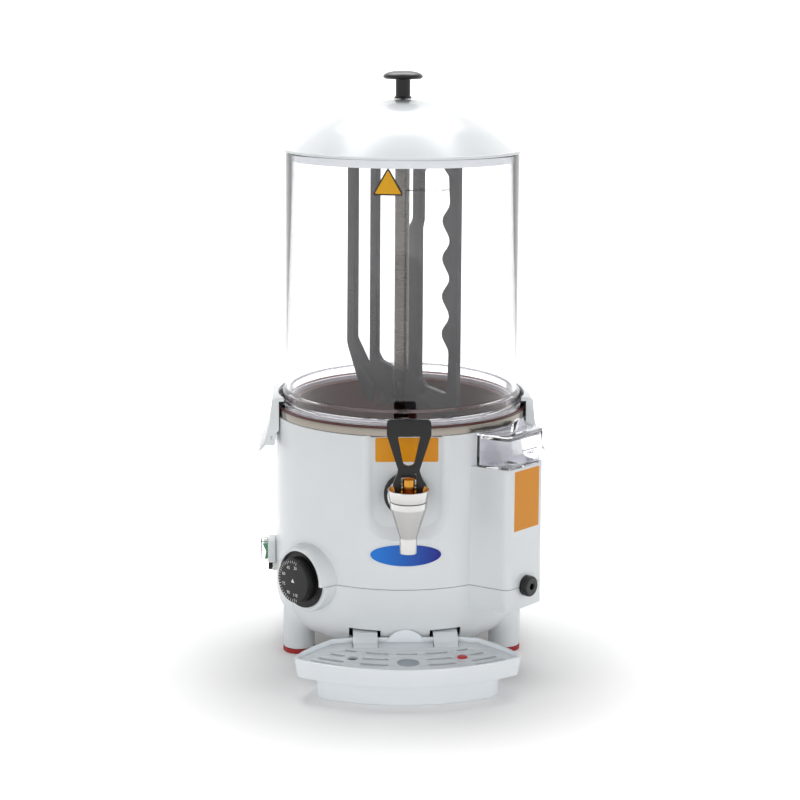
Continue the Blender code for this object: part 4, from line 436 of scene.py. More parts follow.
def outward(turn, out=0.0, height=0.0):
    """Frame at a turn round the drum: Z outward, X up."""
    return (upright(turn, out, height) @ Matrix.Rotation(math.pi / 2, 4, "Y")
            @ Matrix.Rotation(math.pi, 4, "Z"))


def facing(turn, out=0.0, height=0.0):
    """Frame at a turn round the drum: X round the drum, Y up, Z outward."""
    columns = Matrix(((0, 0, 1, 0), (1, 0, 0, 0), (0, 1, 0, 0), (0, 0, 0, 1)))
    return upright(turn, out, height) @ columns


def front_view(reach=0.0):
    """Frame whose X and Y are the machine's X and Z, and whose Z points to the front."""
    return Matrix.Translation((0, -reach, 0)) @ Matrix.Rotation(math.pi / 2, 4, "X")


def belly_line(radius, floor, steps=14):
    """Quarter ellipse from the straight wall to the flat floor."""
    found = []
    for step in range(steps + 1):
        angle = math.pi / 2 * step / steps
        found.append((BELLY_FLOOR_R + (radius - BELLY_FLOOR_R) * math.cos(angle),
                      BELLY_TURN_Z - (BELLY_TURN_Z - floor) * math.sin(angle)))
    return found


COLUMN_TURN = math.radians(-44)
COLUMN_ROOT = 118
COLUMN_ROOT_HALF = 36.1
COLUMN_HALF = 27.4
COLUMN_REACH = 160.5
COLUMN_CORNER = 10
COLUMN_FOOT_Z = 63.2
COLUMN_TOP = 201.7
PLUG_HOLE_R = 6.5


def column_outline(inset=0.0, root=COLUMN_ROOT):
    """Plan of the filling column, X outward and Y round the drum."""
    slope = (COLUMN_ROOT_HALF - COLUMN_HALF) / (COLUMN_REACH - COLUMN_ROOT)
    root_half = COLUMN_ROOT_HALF - slope * (root - COLUMN_ROOT)
    corner = COLUMN_CORNER - inset
    corners = [(root, inset - root_half), (COLUMN_REACH - inset, inset - COLUMN_HALF),
               (COLUMN_REACH - inset, COLUMN_HALF - inset), (root, root_half - inset)]
    return eased(corners, [0, corner, corner, 0], 8)


DIAL_TURN = math.radians(-137)
DIAL_Z = 86.8
BOSS_FOOT = 118
BOSS_FACE = 133.5
BOSS_FOOT_R = 33.9
BOSS_FACE_R = 32.5
HOOD_FACE = 138.8
HOOD_R = 30.9
HOOD_MOUTH_R = 27.8
BEZEL_R = 28.2
BEZEL_THICK = 2.5
SPINDLE_HOLE_R = 6
SWITCH_TURN = math.pi
SWITCH_Z = 90.3
SWITCH_HALF = 10.8
SWITCH_RISE = 9.1
RESET_Z = 73
RESET_HOLE_R = 5.8
TRAY_SLOT = ((23.5, 28), (53.5, 43.5))
FAR = 60

lower_line = [(DRUM_R, SEAM_Z - SEAM_GAP)] + belly_line(DRUM_R, BELLY_FLOOR_Z)
lower_line += [(BELLY_HOLE_R, BELLY_FLOOR_Z), (BELLY_HOLE_R, BELLY_FLOOR_Z + WALL)]
lower_line += belly_line(DRUM_R - WALL, BELLY_FLOOR_Z + WALL)[::-1] + [(DRUM_R - WALL, SEAM_Z - SEAM_GAP)]
joins = []
for x, y in LEGS.values():
    leg = eased([(0, LEG_TOP), (LEG_R, LEG_TOP), (LEG_R, LEG_LOW), (0, LEG_LOW)],
                [0, EDGE_R, EDGE_R, 0])
    joins.append((turned_mesh(leg, steps=48), Matrix.Translation((x, y, 0))))
column_foot = slab_mesh(column_outline(), COLUMN_FOOT_Z, SEAM_Z + FAR, edge=1.2, segments=3)
boss_line = [(0, BOSS_FACE), (BOSS_FACE_R, BOSS_FACE), (BOSS_FOOT_R, BOSS_FOOT), (0, BOSS_FOOT)]
boss_line = eased(boss_line, [0, 1.5, 0, 0], 4)
joins.append((column_foot, upright(COLUMN_TURN)))
joins.append((turned_mesh(boss_line, steps=96), outward(DIAL_TURN, 0, DIAL_Z)))
above_seam = (-2 * DRUM_R, -2 * DRUM_R, SEAM_Z - SEAM_GAP), (2 * DRUM_R, 2 * DRUM_R, SEAM_Z + 2 * FAR)
cuts = [(block_mesh(*above_seam), HERE),
        (slab_mesh(column_outline(WALL, COLUMN_ROOT - 2 * WALL), COLUMN_FOOT_Z + WALL, SEAM_Z + FAR),
         upright(COLUMN_TURN)),
        (bore_mesh(PLUG_HOLE_R, COLUMN_REACH - 2 * WALL, COLUMN_REACH + WALL),
         outward(COLUMN_TURN, 0, SEAM_Z)),
        (bore_mesh(SPINDLE_HOLE_R, BOSS_FOOT - 2 * WALL, BOSS_FACE + WALL),
         outward(DIAL_TURN, 0, DIAL_Z)),
        (block_mesh((105, -SWITCH_HALF, SWITCH_Z - SWITCH_RISE),
                    (DRUM_R + WALL, SWITCH_HALF, SWITCH_Z + SWITCH_RISE)), upright(SWITCH_TURN)),
        (bore_mesh(RESET_HOLE_R, 105, DRUM_R + WALL), outward(SWITCH_TURN, 0, RESET_Z))]
(slot_in, slot_low), (slot_out, slot_high) = TRAY_SLOT
for side in (-1, 1):
    near, far = sorted((side * slot_in, side * slot_out))
    cuts.append((block_mesh((near, -DRUM_R, slot_low), (far, -100, slot_high)), HERE))
new_piece("lower_shell", turned_mesh(lower_line), white_abs, "housing", "shell", "lower_housing",
          joins=joins, cuts=cuts)


# Feet: four pads of red silicone rubber, moulded with a rounded foot and pushed into the legs.
# The red is dull and soft, a little uneven where it has taken up dust.
PAD_R = 15.8
PAD_HEIGHT = 4.8
red_silicone = moulded_plastic("red_silicone_rubber", "#A01B1B", 0.5, 0.5, 0.04, 0.12)
pad_line = eased([(0, PAD_HEIGHT), (PAD_R, PAD_HEIGHT), (PAD_R, 0), (0, 0)],
                 [0, 0.4, 1.2, 0])
for name, (x, y) in LEGS.items():
    new_piece("pad_" + name, turned_mesh(pad_line, steps=48), red_silicone, "housing", "rubber_red",
              "foot_" + name, place=Matrix.Translation((x, y, 0)))


# Upper housing: the drum above the seam, moulded in the same white ABS. It has a flat-bottomed
# recess for the tap, the filling column, the hood over the dial and an ear for each side clip.
DRUM_TOP = 233.6
RECESS_Y = 117
RECESS_HALF = 31
RECESS_LOW = 145
RECESS_CORNER = 17
BRIM_HALF = 42
BRIM_LOW = 133.7
BRIM_CORNER = 25
RECESS_BACK = 113.5
RECESS_STEPS = 8
TAP_Z = 177.2
TAP_HOLE_R = 14
FRONT = -math.pi / 2
PIPE_OUT = 140
PIPE_HOLE_R = 6.3
CLIP_PIN_X = 128.8
CLIP_PIN_Z = 213.3
CLIP_PIN_R = 1.4
EAR_R = 3.1
EAR_HALF = 9


def u_line(half, low, corner, high, steps=10):
    """A U from its right end down and round to its left end."""
    right = arc((half - corner, low + corner), corner, 0, -90, steps)
    left = arc((corner - half, low + corner), corner, -90, -180, steps)
    return [(half, high)] + right + left + [(-half, high)]


def recess_mesh():
    """The recess runs from a crisp line round its floor to a soft brim on the round wall."""
    floor_line = u_line(RECESS_HALF, RECESS_LOW, RECESS_CORNER, DRUM_TOP + WALL)
    brim_line = u_line(BRIM_HALF, BRIM_LOW, BRIM_CORNER, DRUM_TOP + WALL)
    rings = []
    for step in range(RECESS_STEPS + 1):
        share = step / RECESS_STEPS
        ring = []
        for near, far in zip(floor_line, brim_line):
            x, z = Vector(near).lerp(Vector(far), share)
            depth = RECESS_Y + (math.sqrt(DRUM_R ** 2 - x ** 2) - RECESS_Y) * share
            ring.append((x, -depth, z))
        rings.append(ring)
    rings.append([(x, -DRUM_R - WALL, z) for x, y, z in rings[-1]])
    return loft_mesh(rings)


def clip_side(side):
    """Frame of the left or the right clip: X outward, Y up."""
    return Matrix.Rotation(math.pi if side < 0 else 0, 4, "Z") @ front_view()


upper_line = [(DRUM_R, DRUM_TOP), (DRUM_R, SEAM_Z), (DRUM_R - WALL, SEAM_Z), (DRUM_R - WALL, DRUM_TOP)]
upper_line = eased(upper_line, [0.6, 0, 0, 0])
spread = math.degrees(math.asin((BRIM_HALF + WALL) / DRUM_R))
backing_plan = arc((0, 0), DRUM_R - WALL / 3, -90 - spread, -90 + spread, 24)
backing_plan += [(backing_plan[-1][0], -RECESS_BACK), (backing_plan[0][0], -RECESS_BACK)]
hood_line = [(0, HOOD_FACE), (HOOD_R, HOOD_FACE), (BOSS_FACE_R, BOSS_FACE), (BOSS_FOOT_R, BOSS_FOOT),
             (0, BOSS_FOOT)]
hood_line = eased(hood_line, [0, 1.6, 3, 0, 0], 4)
joins = [(slab_mesh(backing_plan, BRIM_LOW - WALL, DRUM_TOP - WALL / 2), HERE),
         (slab_mesh(column_outline(), SEAM_Z - FAR, COLUMN_TOP, edge=1, segments=3),
          upright(COLUMN_TURN)),
         (turned_mesh(hood_line, steps=96), outward(DIAL_TURN, 0, DIAL_Z))]
below_seam = (-2 * DRUM_R, -2 * DRUM_R, -FAR), (2 * DRUM_R, 2 * DRUM_R, SEAM_Z + SEAM_GAP)
seat_low = BOSS_FACE
seat_high = BOSS_FACE + BEZEL_THICK + 2 * SEAM_GAP
seat_line = [(0, HOOD_FACE + WALL), (HOOD_MOUTH_R, HOOD_FACE + WALL), (HOOD_MOUTH_R, seat_high),
             (BEZEL_R + SEAM_GAP, seat_high), (BEZEL_R + SEAM_GAP, seat_low), (0, seat_low)]
cuts = [(block_mesh(*below_seam), HERE),
        (recess_mesh(), HERE),
        (bore_mesh(TAP_HOLE_R, RECESS_BACK - WALL, RECESS_Y + WALL), outward(FRONT, 0, TAP_Z)),
        (slab_mesh(column_outline(WALL, COLUMN_ROOT - 2 * WALL), SEAM_Z - FAR, COLUMN_TOP - WALL),
         upright(COLUMN_TURN)),
        (bore_mesh(PIPE_HOLE_R, COLUMN_TOP - 2 * WALL, COLUMN_TOP + WALL), upright(COLUMN_TURN, PIPE_OUT)),
        (bore_mesh(PLUG_HOLE_R, COLUMN_REACH - 2 * WALL, COLUMN_REACH + WALL),
         outward(COLUMN_TURN, 0, SEAM_Z)),
        (bore_mesh(BOSS_FACE_R - WALL, BOSS_FOOT - 2 * WALL, BOSS_FACE - WALL, 96),
         outward(DIAL_TURN, 0, DIAL_Z)),
        (turned_mesh(seat_line, steps=96), outward(DIAL_TURN, 0, DIAL_Z)),
        (bore_mesh(SPINDLE_HOLE_R, BOSS_FOOT, HOOD_FACE), outward(DIAL_TURN, 0, DIAL_Z)),
        (block_mesh((105, -SWITCH_HALF, SWITCH_Z - SWITCH_RISE),
                    (DRUM_R + WALL, SWITCH_HALF, SWITCH_Z + SWITCH_RISE)), upright(SWITCH_TURN))]
for side in (-1, 1):
    ear_line = [(DRUM_R - WALL / 2, CLIP_PIN_Z - EAR_R), (DRUM_R - WALL / 2, CLIP_PIN_Z + EAR_R)]
    ear_line += arc((CLIP_PIN_X, CLIP_PIN_Z), EAR_R, 90, -90, 12)
    joins.append((slab_mesh(ear_line, -EAR_HALF, EAR_HALF, edge=0.4), clip_side(side)))
    cuts.append((bore_mesh(CLIP_PIN_R + SEAM_GAP, -2 * EAR_HALF, 2 * EAR_HALF, 24),
                 clip_side(side) @ Matrix.Translation((CLIP_PIN_X, CLIP_PIN_Z, 0))))
new_piece("upper_shell", turned_mesh(upper_line), white_abs, "housing", "shell", "upper_housing",
          joins=joins, cuts=cuts)


# Rim band: a strip of stainless steel rolled into a ring and polished, on top of the drum.
# It mirrors the white room and has a faint straw tone and fine lines all the way round.
BAND_LOW = 233.9
BAND_TOP = 241.4
BAND_WALL = 2.7


def worked_metal(name, code, roughness, lines=(60, 60, 2500), shade=0.1, dent=0.004):
    """Metal with fine tool lines; lines says how many lie in a metre along X, Y and Z."""
    material, tree = new_material(name)
    where = add_node(tree, "TexCoord")
    drawn = add_node(tree, "Mapping", {"Vector": (where, "Object")}, Scale=lines)
    fine = add_node(tree, "TexNoise", {"Vector": (drawn, "Vector")}, Scale=1.0, Detail=3.0)
    slow = add_node(tree, "TexNoise", {"Vector": (where, "Object")}, Scale=30.0, Detail=2.0)
    tone = add_node(tree, "MixRGB", {0: (slow, "Fac")}, Color1=linear(code, 1 - shade), Color2=linear(code))
    rough = add_node(tree, "MapRange", {"Value": (fine, "Fac")}, To_Min=roughness * 0.7,
                     To_Max=roughness * 1.3)
    bump = add_node(tree, "Bump", {"Height": (fine, "Fac")}, Strength=0.2, Distance=dent * mm)
    shader = add_node(tree, "BsdfPrincipled", {"Base Color": (tone, "Color"),
                      "Roughness": (rough, "Result"), "Normal": (bump, "Normal")}, Metallic=1.0)
    show_shader(tree, shader)
    return material


polished_band = worked_metal("polished_stainless_steel", "#8E8880", 0.2)
band_line = eased([(DRUM_R, BAND_TOP), (DRUM_R, BAND_LOW), (DRUM_R - BAND_WALL, BAND_LOW),
                   (DRUM_R - BAND_WALL, BAND_TOP)], 0.7)
new_piece("rim_ring", turned_mesh(band_line), polished_band, "housing", "steel", "rim_band")


# Basin: a bowl of drawn sheet with a red-brown non-stick coating, whose flange lies on the band.
# The coating is satin and a little mottled. A sleeve in its front wall takes the tap.
FLANGE_Z = 243.2
BOWL_WALL = 1.5
BOWL_FLOOR_Z = 160
BOWL_FLANGE_R = 125.2
BOWL_MOUTH_R = 105
BOWL_SHARES = ((1.0, 1.0), (0.99, 0.48), (0.91, 0.144), (0.838, 0.036), (0.714, 0.0))
TUBE_R = 7.3
SLEEVE_R = 11.5
SLEEVE_OUT = 113.8
SLEEVE_IN = 90.5
SHANK_R = 7


def flowing(points, steps=6):
    """A smooth line through all the points."""
    found = []
    last = len(points) - 1
    for index in range(last):
        before, here, there, after = (Vector(points[min(max(index + shift, 0), last)])
                                      for shift in (-1, 0, 1, 2))
        for step in range(steps):
            share = step / steps
            found.append(tuple(0.5 * (2 * here + (there - before) * share
                                      + (2 * before - 5 * here + 4 * there - after) * share ** 2
                                      + (3 * here - before - 3 * there + after) * share ** 3)))
    return found + [tuple(points[-1])]


coated_bowl = moulded_plastic("red_brown_nonstick_coating", "#4C1810", 0.34, 0.8, 0.03, 0.16,
                              Specular_IOR_Level=0.35)
depth = FLANGE_Z - BOWL_FLOOR_Z
bowl_inside = flowing([(BOWL_MOUTH_R * across, BOWL_FLOOR_Z + depth * up) for across, up in BOWL_SHARES])
bowl_outside = [(radius + BOWL_WALL, height - BOWL_WALL) for radius, height in bowl_inside]
bore = TUBE_R + SEAM_GAP
bowl_line = [(BOWL_FLANGE_R, FLANGE_Z), (BOWL_FLANGE_R, FLANGE_Z - BOWL_WALL)] + bowl_outside
bowl_line += [(bore, BOWL_FLOOR_Z - BOWL_WALL), (bore, BOWL_FLOOR_Z)] + bowl_inside[::-1]
new_piece("coated_basin", turned_mesh(bowl_line), coated_bowl, "housing", "coating", "basin",
          joins=[(bore_mesh(SLEEVE_R, SLEEVE_IN, SLEEVE_OUT), outward(FRONT, 0, TAP_Z))],
          cuts=[(bore_mesh(SHANK_R + SEAM_GAP, SLEEVE_IN - WALL, SLEEVE_OUT + WALL),
                 outward(FRONT, 0, TAP_Z))])


# Tank: a clear bowl moulded in SAN plastic, with a stepped foot that stands on the basin's flange.
# It is water clear face on, and its edges and shoulders draw violet lines.
TANK_R = 115
TANK_WALL = 3
TANK_TOP = 492
TANK_LOW = 243.5
TANK_FOOT_R = 118.5
TANK_FOOT_TOP = 255.5
TANK_FOOT_LOW = 249
TANK_FLANGE_R = 123.5
TANK_FLANGE_IN = 120.4
TANK_FLANGE_TOP = 247.1
GROOVE_R = 116.3
GROOVE_TOP = 247.5


def clear_plastic(name, edge_code, roughness=0.02, blend=0.08, index=1.5):
    """Clear moulding: colourless face on, tinted where the eye runs along the wall."""
    material, tree = new_material(name)
    where = add_node(tree, "TexCoord")
    grazing = add_node(tree, "LayerWeight", Blend=blend)
    tone = add_node(tree, "MixRGB", {0: (grazing, "Facing")}, Color1=linear("#FFFFFF"),
                    Color2=linear(edge_code))
    ripple = add_node(tree, "TexNoise", {"Vector": (where, "Object")}, Scale=25.0, Detail=1.0)
    bump = add_node(tree, "Bump", {"Height": (ripple, "Fac")}, Strength=0.15, Distance=0.05 * mm)
    plastic = add_node(tree, "BsdfPrincipled", {"Base Color": (tone, "Color"), "Normal": (bump, "Normal")},
                       Transmission_Weight=1.0, IOR=index, Roughness=roughness)
    rays = add_node(tree, "LightPath")
    passing = add_node(tree, "BsdfTransparent", Color=linear("#F2F2F6"))
    both = add_node(tree, "MixShader", {0: (rays, "Is Shadow Ray"), 1: (plastic, "BSDF"),
                                        2: (passing, "BSDF")})
    show_shader(tree, both, "Shader")
    return material


clear_san = clear_plastic("clear_moulded_san", "#A9A6D2")
tank_line = [(TANK_R, TANK_TOP), (TANK_R, TANK_FOOT_TOP + 2), (TANK_FOOT_R, TANK_FOOT_TOP),
             (TANK_FOOT_R, TANK_FOOT_LOW), (TANK_FLANGE_IN, TANK_FLANGE_TOP),
             (TANK_FLANGE_R, TANK_FLANGE_TOP), (TANK_FLANGE_R, TANK_LOW), (GROOVE_R, TANK_LOW),
             (GROOVE_R, GROOVE_TOP), (TANK_R - TANK_WALL, GROOVE_TOP), (TANK_R - TANK_WALL, TANK_TOP)]
tank_line = eased(tank_line, [1.2, 1, 1.5, 1, 0.5, 1.2, 0.4, 0, 0,
                              1, 1.2], 4)
new_piece("clear_tank", turned_mesh(tank_line, steps=160), clear_san, "housing", "clear", "tank")


# Lid: a dome moulded in white ABS. Its lip lies on the tank's edge, and a skirt drops inside.
LID_LIP_R = 116.5
LID_LIP_LOW = 492.3
LID_LIP_TOP = 495.2
LID_RISE = 54
LID_WALL = 2.5
LID_SKIRT_R = 111.5
LID_SKIRT_LOW = 484
LID_SCREW_HOLE_R = 2.3
DOME_SHARES = ((0.0, 0.944), (0.22, 0.9), (0.37, 0.815), (0.55, 0.67), (0.70, 0.478), (0.835, 0.254),
               (0.95, 0.046))
dome = flowing([(LID_LIP_R * across, LID_LIP_LOW + LID_RISE * up) for across, up in DOME_SHARES], 8)
dome_top = [(max(radius, LID_SCREW_HOLE_R), height) for radius, height in dome]
dome_under = [(max(radius - LID_WALL, LID_SCREW_HOLE_R), height - LID_WALL) for radius, height in dome]
lip = eased([dome_top[-1], (LID_LIP_R, LID_LIP_TOP), (LID_LIP_R, LID_LIP_LOW),
             (LID_SKIRT_R, LID_LIP_LOW), (LID_SKIRT_R, LID_SKIRT_LOW),
             (LID_SKIRT_R - 2, LID_SKIRT_LOW), (LID_SKIRT_R - 2, LID_LIP_LOW),
             dome_under[-1]], [0, 1.1, 0.8, 0.3, 0.7, 0.7, 0, 0], 4)
new_piece("domed_lid", turned_mesh(dome_top[:-1] + lip + dome_under[:-1][::-1], steps=160), white_abs,
          "lid", "shell", "lid")


# Knob of the lid: a mushroom turned from black phenolic plastic, held from below by a screw.
KNOB_TOP = 570.6
KNOB_R = 19.5
KNOB_STEM_R = 7.2
KNOB_SEAT = LID_LIP_LOW + LID_RISE * DOME_SHARES[0][1] + SEAM_GAP
KNOB_SCREW_END = KNOB_SEAT + 14
black_phenolic = moulded_plastic("black_phenolic_plastic", "#121214", 0.3, 0.3, 0.02, 0.1,
                                 Specular_IOR_Level=0.35)
crown = [(0, KNOB_TOP), (0.45 * KNOB_R, KNOB_TOP - 0.35), (0.8 * KNOB_R, KNOB_TOP - 1.9),
         (0.97 * KNOB_R, KNOB_TOP - 4.2), (KNOB_R, KNOB_TOP - 6.2)]
under = eased([(KNOB_R, KNOB_TOP - 6.2), (KNOB_R - 1.8, KNOB_TOP - 7.8),
               (KNOB_STEM_R, KNOB_TOP - 7.8), (KNOB_STEM_R, KNOB_SEAT + 3),
               (KNOB_STEM_R + 1.8, KNOB_SEAT + SEAM_GAP), (KNOB_STEM_R + 1.8, KNOB_SEAT),
               (LID_SCREW_HOLE_R, KNOB_SEAT), (LID_SCREW_HOLE_R, KNOB_SCREW_END), (0, KNOB_SCREW_END)],
              [0, 0.6, 1.5, 1.5, 0, 0, 0, 0, 0], 4)
new_piece("lid_knob_cap", turned_mesh(flowing(crown)[:-1] + under, steps=96), black_phenolic, "lid",
          "black", "lid_knob")


# Stirrer: a flat frame moulded in dark grey polypropylene, with two windows and a scalloped bar.
# A hub on top takes the hexagonal driver, and a collar near the bottom runs on the column tube.
PADDLE_TURN = math.radians(-50)
PADDLE_HALF = 3
HUB_R = 13
HUB_LOW = 484.7
HUB_TOP = 501.5
COLLAR_R = 8.8
COLLAR_LOW = 262
COLLAR_HIGH = 274
DRIVER_R = 9.3
DRIVER_TOP = 498.8
SCALLOP_X = 65.4
SCALLOP_DEPTH = 4.9
SCALLOP_PITCH = 36
SCALLOP_TOP = 443.7
SCALLOPS = 4
SCALLOP_STEPS = 14


grey_polypropylene = moulded_plastic("dark_grey_polypropylene", "#1D1D22", 0.45, 0.35, 0.03,
                                     Specular_IOR_Level=0.3)
frame_line = [(-80.6, 499), (-80.6, 288), (-57.6, 243.6), (-42.1, 236.5), (-40.5, 236.5),
                    (-40.5, 249.9), (-36, 254), (-28.4, 244.7), (-28.4, 236.5), (-8.2, 236.5),
                    (-8.2, 273.8), (-30, 278.5), (-35.8, 285), (-35.8, 486), (18.5, 486),
                    (18.5, 422), (13.5, 415), (13.5, 274), (8.2, 269.9), (8.2, 236.5),
                    (72, 236.5), (81, 245.5), (81, 499)]
frame_rounds = [3, 16, 10, 2, 1, 3, 5, 3, 1, 1, 3, 6, 5, 1, 1, 8, 8, 2, 2, 1, 6, 6, 3]
left_window = [(-69.2, 482.5), (-44.9, 482.5), (-44.9, 274), (-46.4, 267.5), (-69.2, 295)]
right_window = [(29.9, 422), (29.9, 468.6), (38.9, 477.1), (60, 477.1), (69, 468.6)]
for step in range(SCALLOPS * SCALLOP_STEPS + 1):
    share = step / SCALLOP_STEPS
    right_window.append((SCALLOP_X + SCALLOP_DEPTH * math.cos(2 * math.pi * share),
                         SCALLOP_TOP - SCALLOP_PITCH * share))
right_window += [(69, 268.6), (67, 259.6), (36.8, 263), (27.8, 272), (27.8, 415)]
windows = [eased(left_window, 4, 5), eased(right_window, 5, 5)]
hub_line = eased([(0, HUB_TOP), (HUB_R, HUB_TOP), (HUB_R, HUB_LOW), (0, HUB_LOW)],
                 [0, 1.2, 0.6, 0], 3)
collar_line = eased([(COLLAR_R, COLLAR_HIGH), (COLLAR_R, COLLAR_LOW), (TUBE_R + SEAM_GAP, COLLAR_LOW),
                     (TUBE_R + SEAM_GAP, COLLAR_HIGH)], 0.5)
paddle_place = Matrix.Rotation(PADDLE_TURN, 4, "Z") @ front_view()
new_piece("stirring_frame",
          slab_mesh(eased(frame_line, list(frame_rounds), 5), -PADDLE_HALF, PADDLE_HALF, windows, 1.1,
                    3), grey_polypropylene, "stirrer", "paddle", "stirrer", place=paddle_place,
          joins=[(turned_mesh(hub_line, steps=64), HERE), (turned_mesh(collar_line, steps=64), HERE)],
          cuts=[(bore_mesh(DRIVER_R, HUB_LOW - WALL, DRIVER_TOP, 6), HERE)])


# Column tube: drawn stainless tube in the middle of the tank, with the drive shaft inside it.
# It is polished, with long bright streaks and fine lines round it.
TUBE_TOP = 484
TUBE_LOW = 144
TUBE_BORE = 5.8
drawn_tube = worked_metal("drawn_stainless_tube", "#5F5C58", 0.26, (90, 90, 1200))
tube_line = eased([(TUBE_R, TUBE_TOP), (TUBE_R, TUBE_LOW), (TUBE_BORE, TUBE_LOW), (TUBE_BORE, TUBE_TOP)],
                  0.3)
new_piece("column_sleeve", turned_mesh(tube_line, steps=64), drawn_tube, "housing", "steel",
          "column_tube")


# Tap: a brass casting, chrome plated on the outside. The cup tapers to the spout, an arm joins it to
# a flange, and a threaded shank behind a black rubber washer goes through the wall.
TAP_REACH = 170
WASHER_R = 21
WASHER_BACK = 117.3
WASHER_FRONT = 122.3
TAP_FLANGE_R = 18
TAP_FLANGE_BACK = 122.6
TAP_FLANGE_FRONT = 126.2
ARM_R = 6.6
ARM_END = 154.5
SHANK_END = 81.5
SHANK_BORE = 4.2
TAP_PLACE = Matrix.Translation((0, -TAP_REACH, 0))
chrome_plate = worked_metal("chrome_plate_on_brass", "#BEBDBC", 0.1, (25, 25, 60), 0.05, 0.01)
cup_line = [(17.4, 184), (16.9, 178), (8.2, 149.5), (8, 134.8), (5.5, 134.8), (5.5, 151),
                  (7.5, 154.5), (8.2, 158), (14.4, 178), (14.4, 184)]
cup_rounds = [0.5, 5, 6, 0.8, 0.5, 0, 0, 0, 0, 0.5]
arm_line = eased([(0, ARM_END), (ARM_R, ARM_END), (ARM_R, TAP_FLANGE_FRONT),
                  (TAP_FLANGE_R, TAP_FLANGE_FRONT), (TAP_FLANGE_R, TAP_FLANGE_BACK),
                  (SHANK_R, TAP_FLANGE_BACK), (SHANK_R, SHANK_END), (0, SHANK_END)],
                 [0, 0, 2, 1.5, 0.4, 0, 0.5, 0], 4)
to_front = outward(FRONT, 0, TAP_Z)
new_piece("tap_cup", turned_mesh(eased(cup_line, cup_rounds, 5), steps=96), chrome_plate, "housing",
          "chrome", "tap_body", place=TAP_PLACE, joins=[(turned_mesh(arm_line, steps=64), to_front)],
          cuts=[(bore_mesh(SHANK_BORE, SHANK_END - WALL, TAP_REACH - 2 * SHANK_BORE, 32), to_front)])
black_rubber = moulded_plastic("black_nitrile_rubber", "#161616", 0.6, 0.5, 0.04, 0.15)
washer_line = eased([(WASHER_R, WASHER_FRONT), (WASHER_R, WASHER_BACK),
                     (SHANK_R + SEAM_GAP, WASHER_BACK), (SHANK_R + SEAM_GAP, WASHER_FRONT)], 1)
new_piece("tap_gasket", turned_mesh(washer_line, steps=96), black_rubber, "housing", "black",
          "tap_washer", place=to_front)


# Bonnet: the chrome ring screwed on the cup. Its inside was not plated and shows the brass.
BONNET_FLOOR = 189.2
BONNET_MOUTH_R = 17.8
FACES_UP = 0.1
BONNET_LINE = [(19.4, 195.5), (17.6, 184.3), (15, 184.3), (15, 186.8), (3.1, 186.8), (3.1, 189.2),
               (15.8, 189.2), (17.8, 195.5)]
turned_brass = worked_metal("turned_brass", "#C98F3C", 0.25, (60, 60, 1500))
bonnet_line = eased(BONNET_LINE, [0.6, 1.2, 0, 0, 0, 0, 0.8, 0.5], 4)
bonnet = new_piece("tap_ring", turned_mesh(bonnet_line, steps=96), chrome_plate, "housing", "chrome",
                   "tap_bonnet", place=TAP_PLACE)
paint_faces(bonnet, turned_brass, lambda middle, way: middle.xy.length < BONNET_MOUTH_R and middle.z
            > BONNET_FLOOR - SEAM_GAP and way.z > FACES_UP)


# Valve stem: turned brass with a cross slot for the pin in its head and a collar for the spring.
HEAD_R = 5.6
HEAD_TOP = 205
STEM_R = 2.8
SLOT_LOW = 191
SLOT_HIGH = 199
STEM_COLLAR = ((6, 160), (6, 157.8), (0, 157.8))
stem_line = [(0, HEAD_TOP), (HEAD_R, HEAD_TOP), (HEAD_R, BONNET_FLOOR + SEAM_GAP),
             (STEM_R, BONNET_FLOOR + SEAM_GAP), (STEM_R, STEM_COLLAR[0][1])] + list(STEM_COLLAR)
stem_line = eased(stem_line, [0, 0.7, 0.3, 0, 0, 0.4, 0.4, 0], 3)
slot_half = CLIP_PIN_R + SEAM_GAP
new_piece("valve_rod", turned_mesh(stem_line, steps=64), turned_brass, "valve_stem", "brass",
          "tap_plunger", place=TAP_PLACE,
          cuts=[(block_mesh((-2 * HEAD_R, -slot_half, SLOT_LOW), (2 * HEAD_R, slot_half, SLOT_HIGH)),
                 TAP_PLACE)])


# Lever: a flat loop moulded in black glass-filled nylon. Its fork stands over the stem's head and
# turns on a steel pin. The top bar and the loop's edges are well rounded.
LEVER_HALF = 3
PIN_Z = 197
PIN_HALF = 13.2
black_nylon = moulded_plastic("black_glass_filled_nylon", "#111112", 0.36, 0.3, 0.04, 0.12,
                              Specular_IOR_Level=0.3)
half_lever = [(0, 260.7), (20.3, 260.7), (20.3, 246.6), (9.6, 213), (12.1, 206.5), (14.7, 200),
                    (12.9, 195), (12.9, 190), (7, 190), (7, 210.5), (0, 210.5)]
half_rounds = [0, 4.5, 5, 6, 0, 3, 2, 1.5, 1, 1.5, 0]
lever_line = half_lever + [(-x, z) for x, z in half_lever[-2:0:-1]]
lever_rounds = half_rounds + half_rounds[-2:0:-1]
loop = eased([(-10.5, 245.5), (10.5, 245.5), (4.6, 217), (-4.6, 217)],
             [2.2, 2.2, 6, 6], 6)
across = TAP_PLACE @ Matrix.Translation((0, 0, PIN_Z)) @ Matrix.Rotation(math.pi / 2, 4, "Y")
new_piece("loop_lever",
          slab_mesh(eased(lever_line, lever_rounds, 6), -LEVER_HALF, LEVER_HALF, [loop], 1.3, 3),
          black_nylon, "lever", "black", "tap_lever", place=front_view(TAP_REACH),
          cuts=[(bore_mesh(CLIP_PIN_R + SEAM_GAP, -2 * PIN_HALF, 2 * PIN_HALF, 24), across)])
ground_steel = worked_metal("ground_steel_pin", "#B4B4B4", 0.28, (300, 300, 2000))
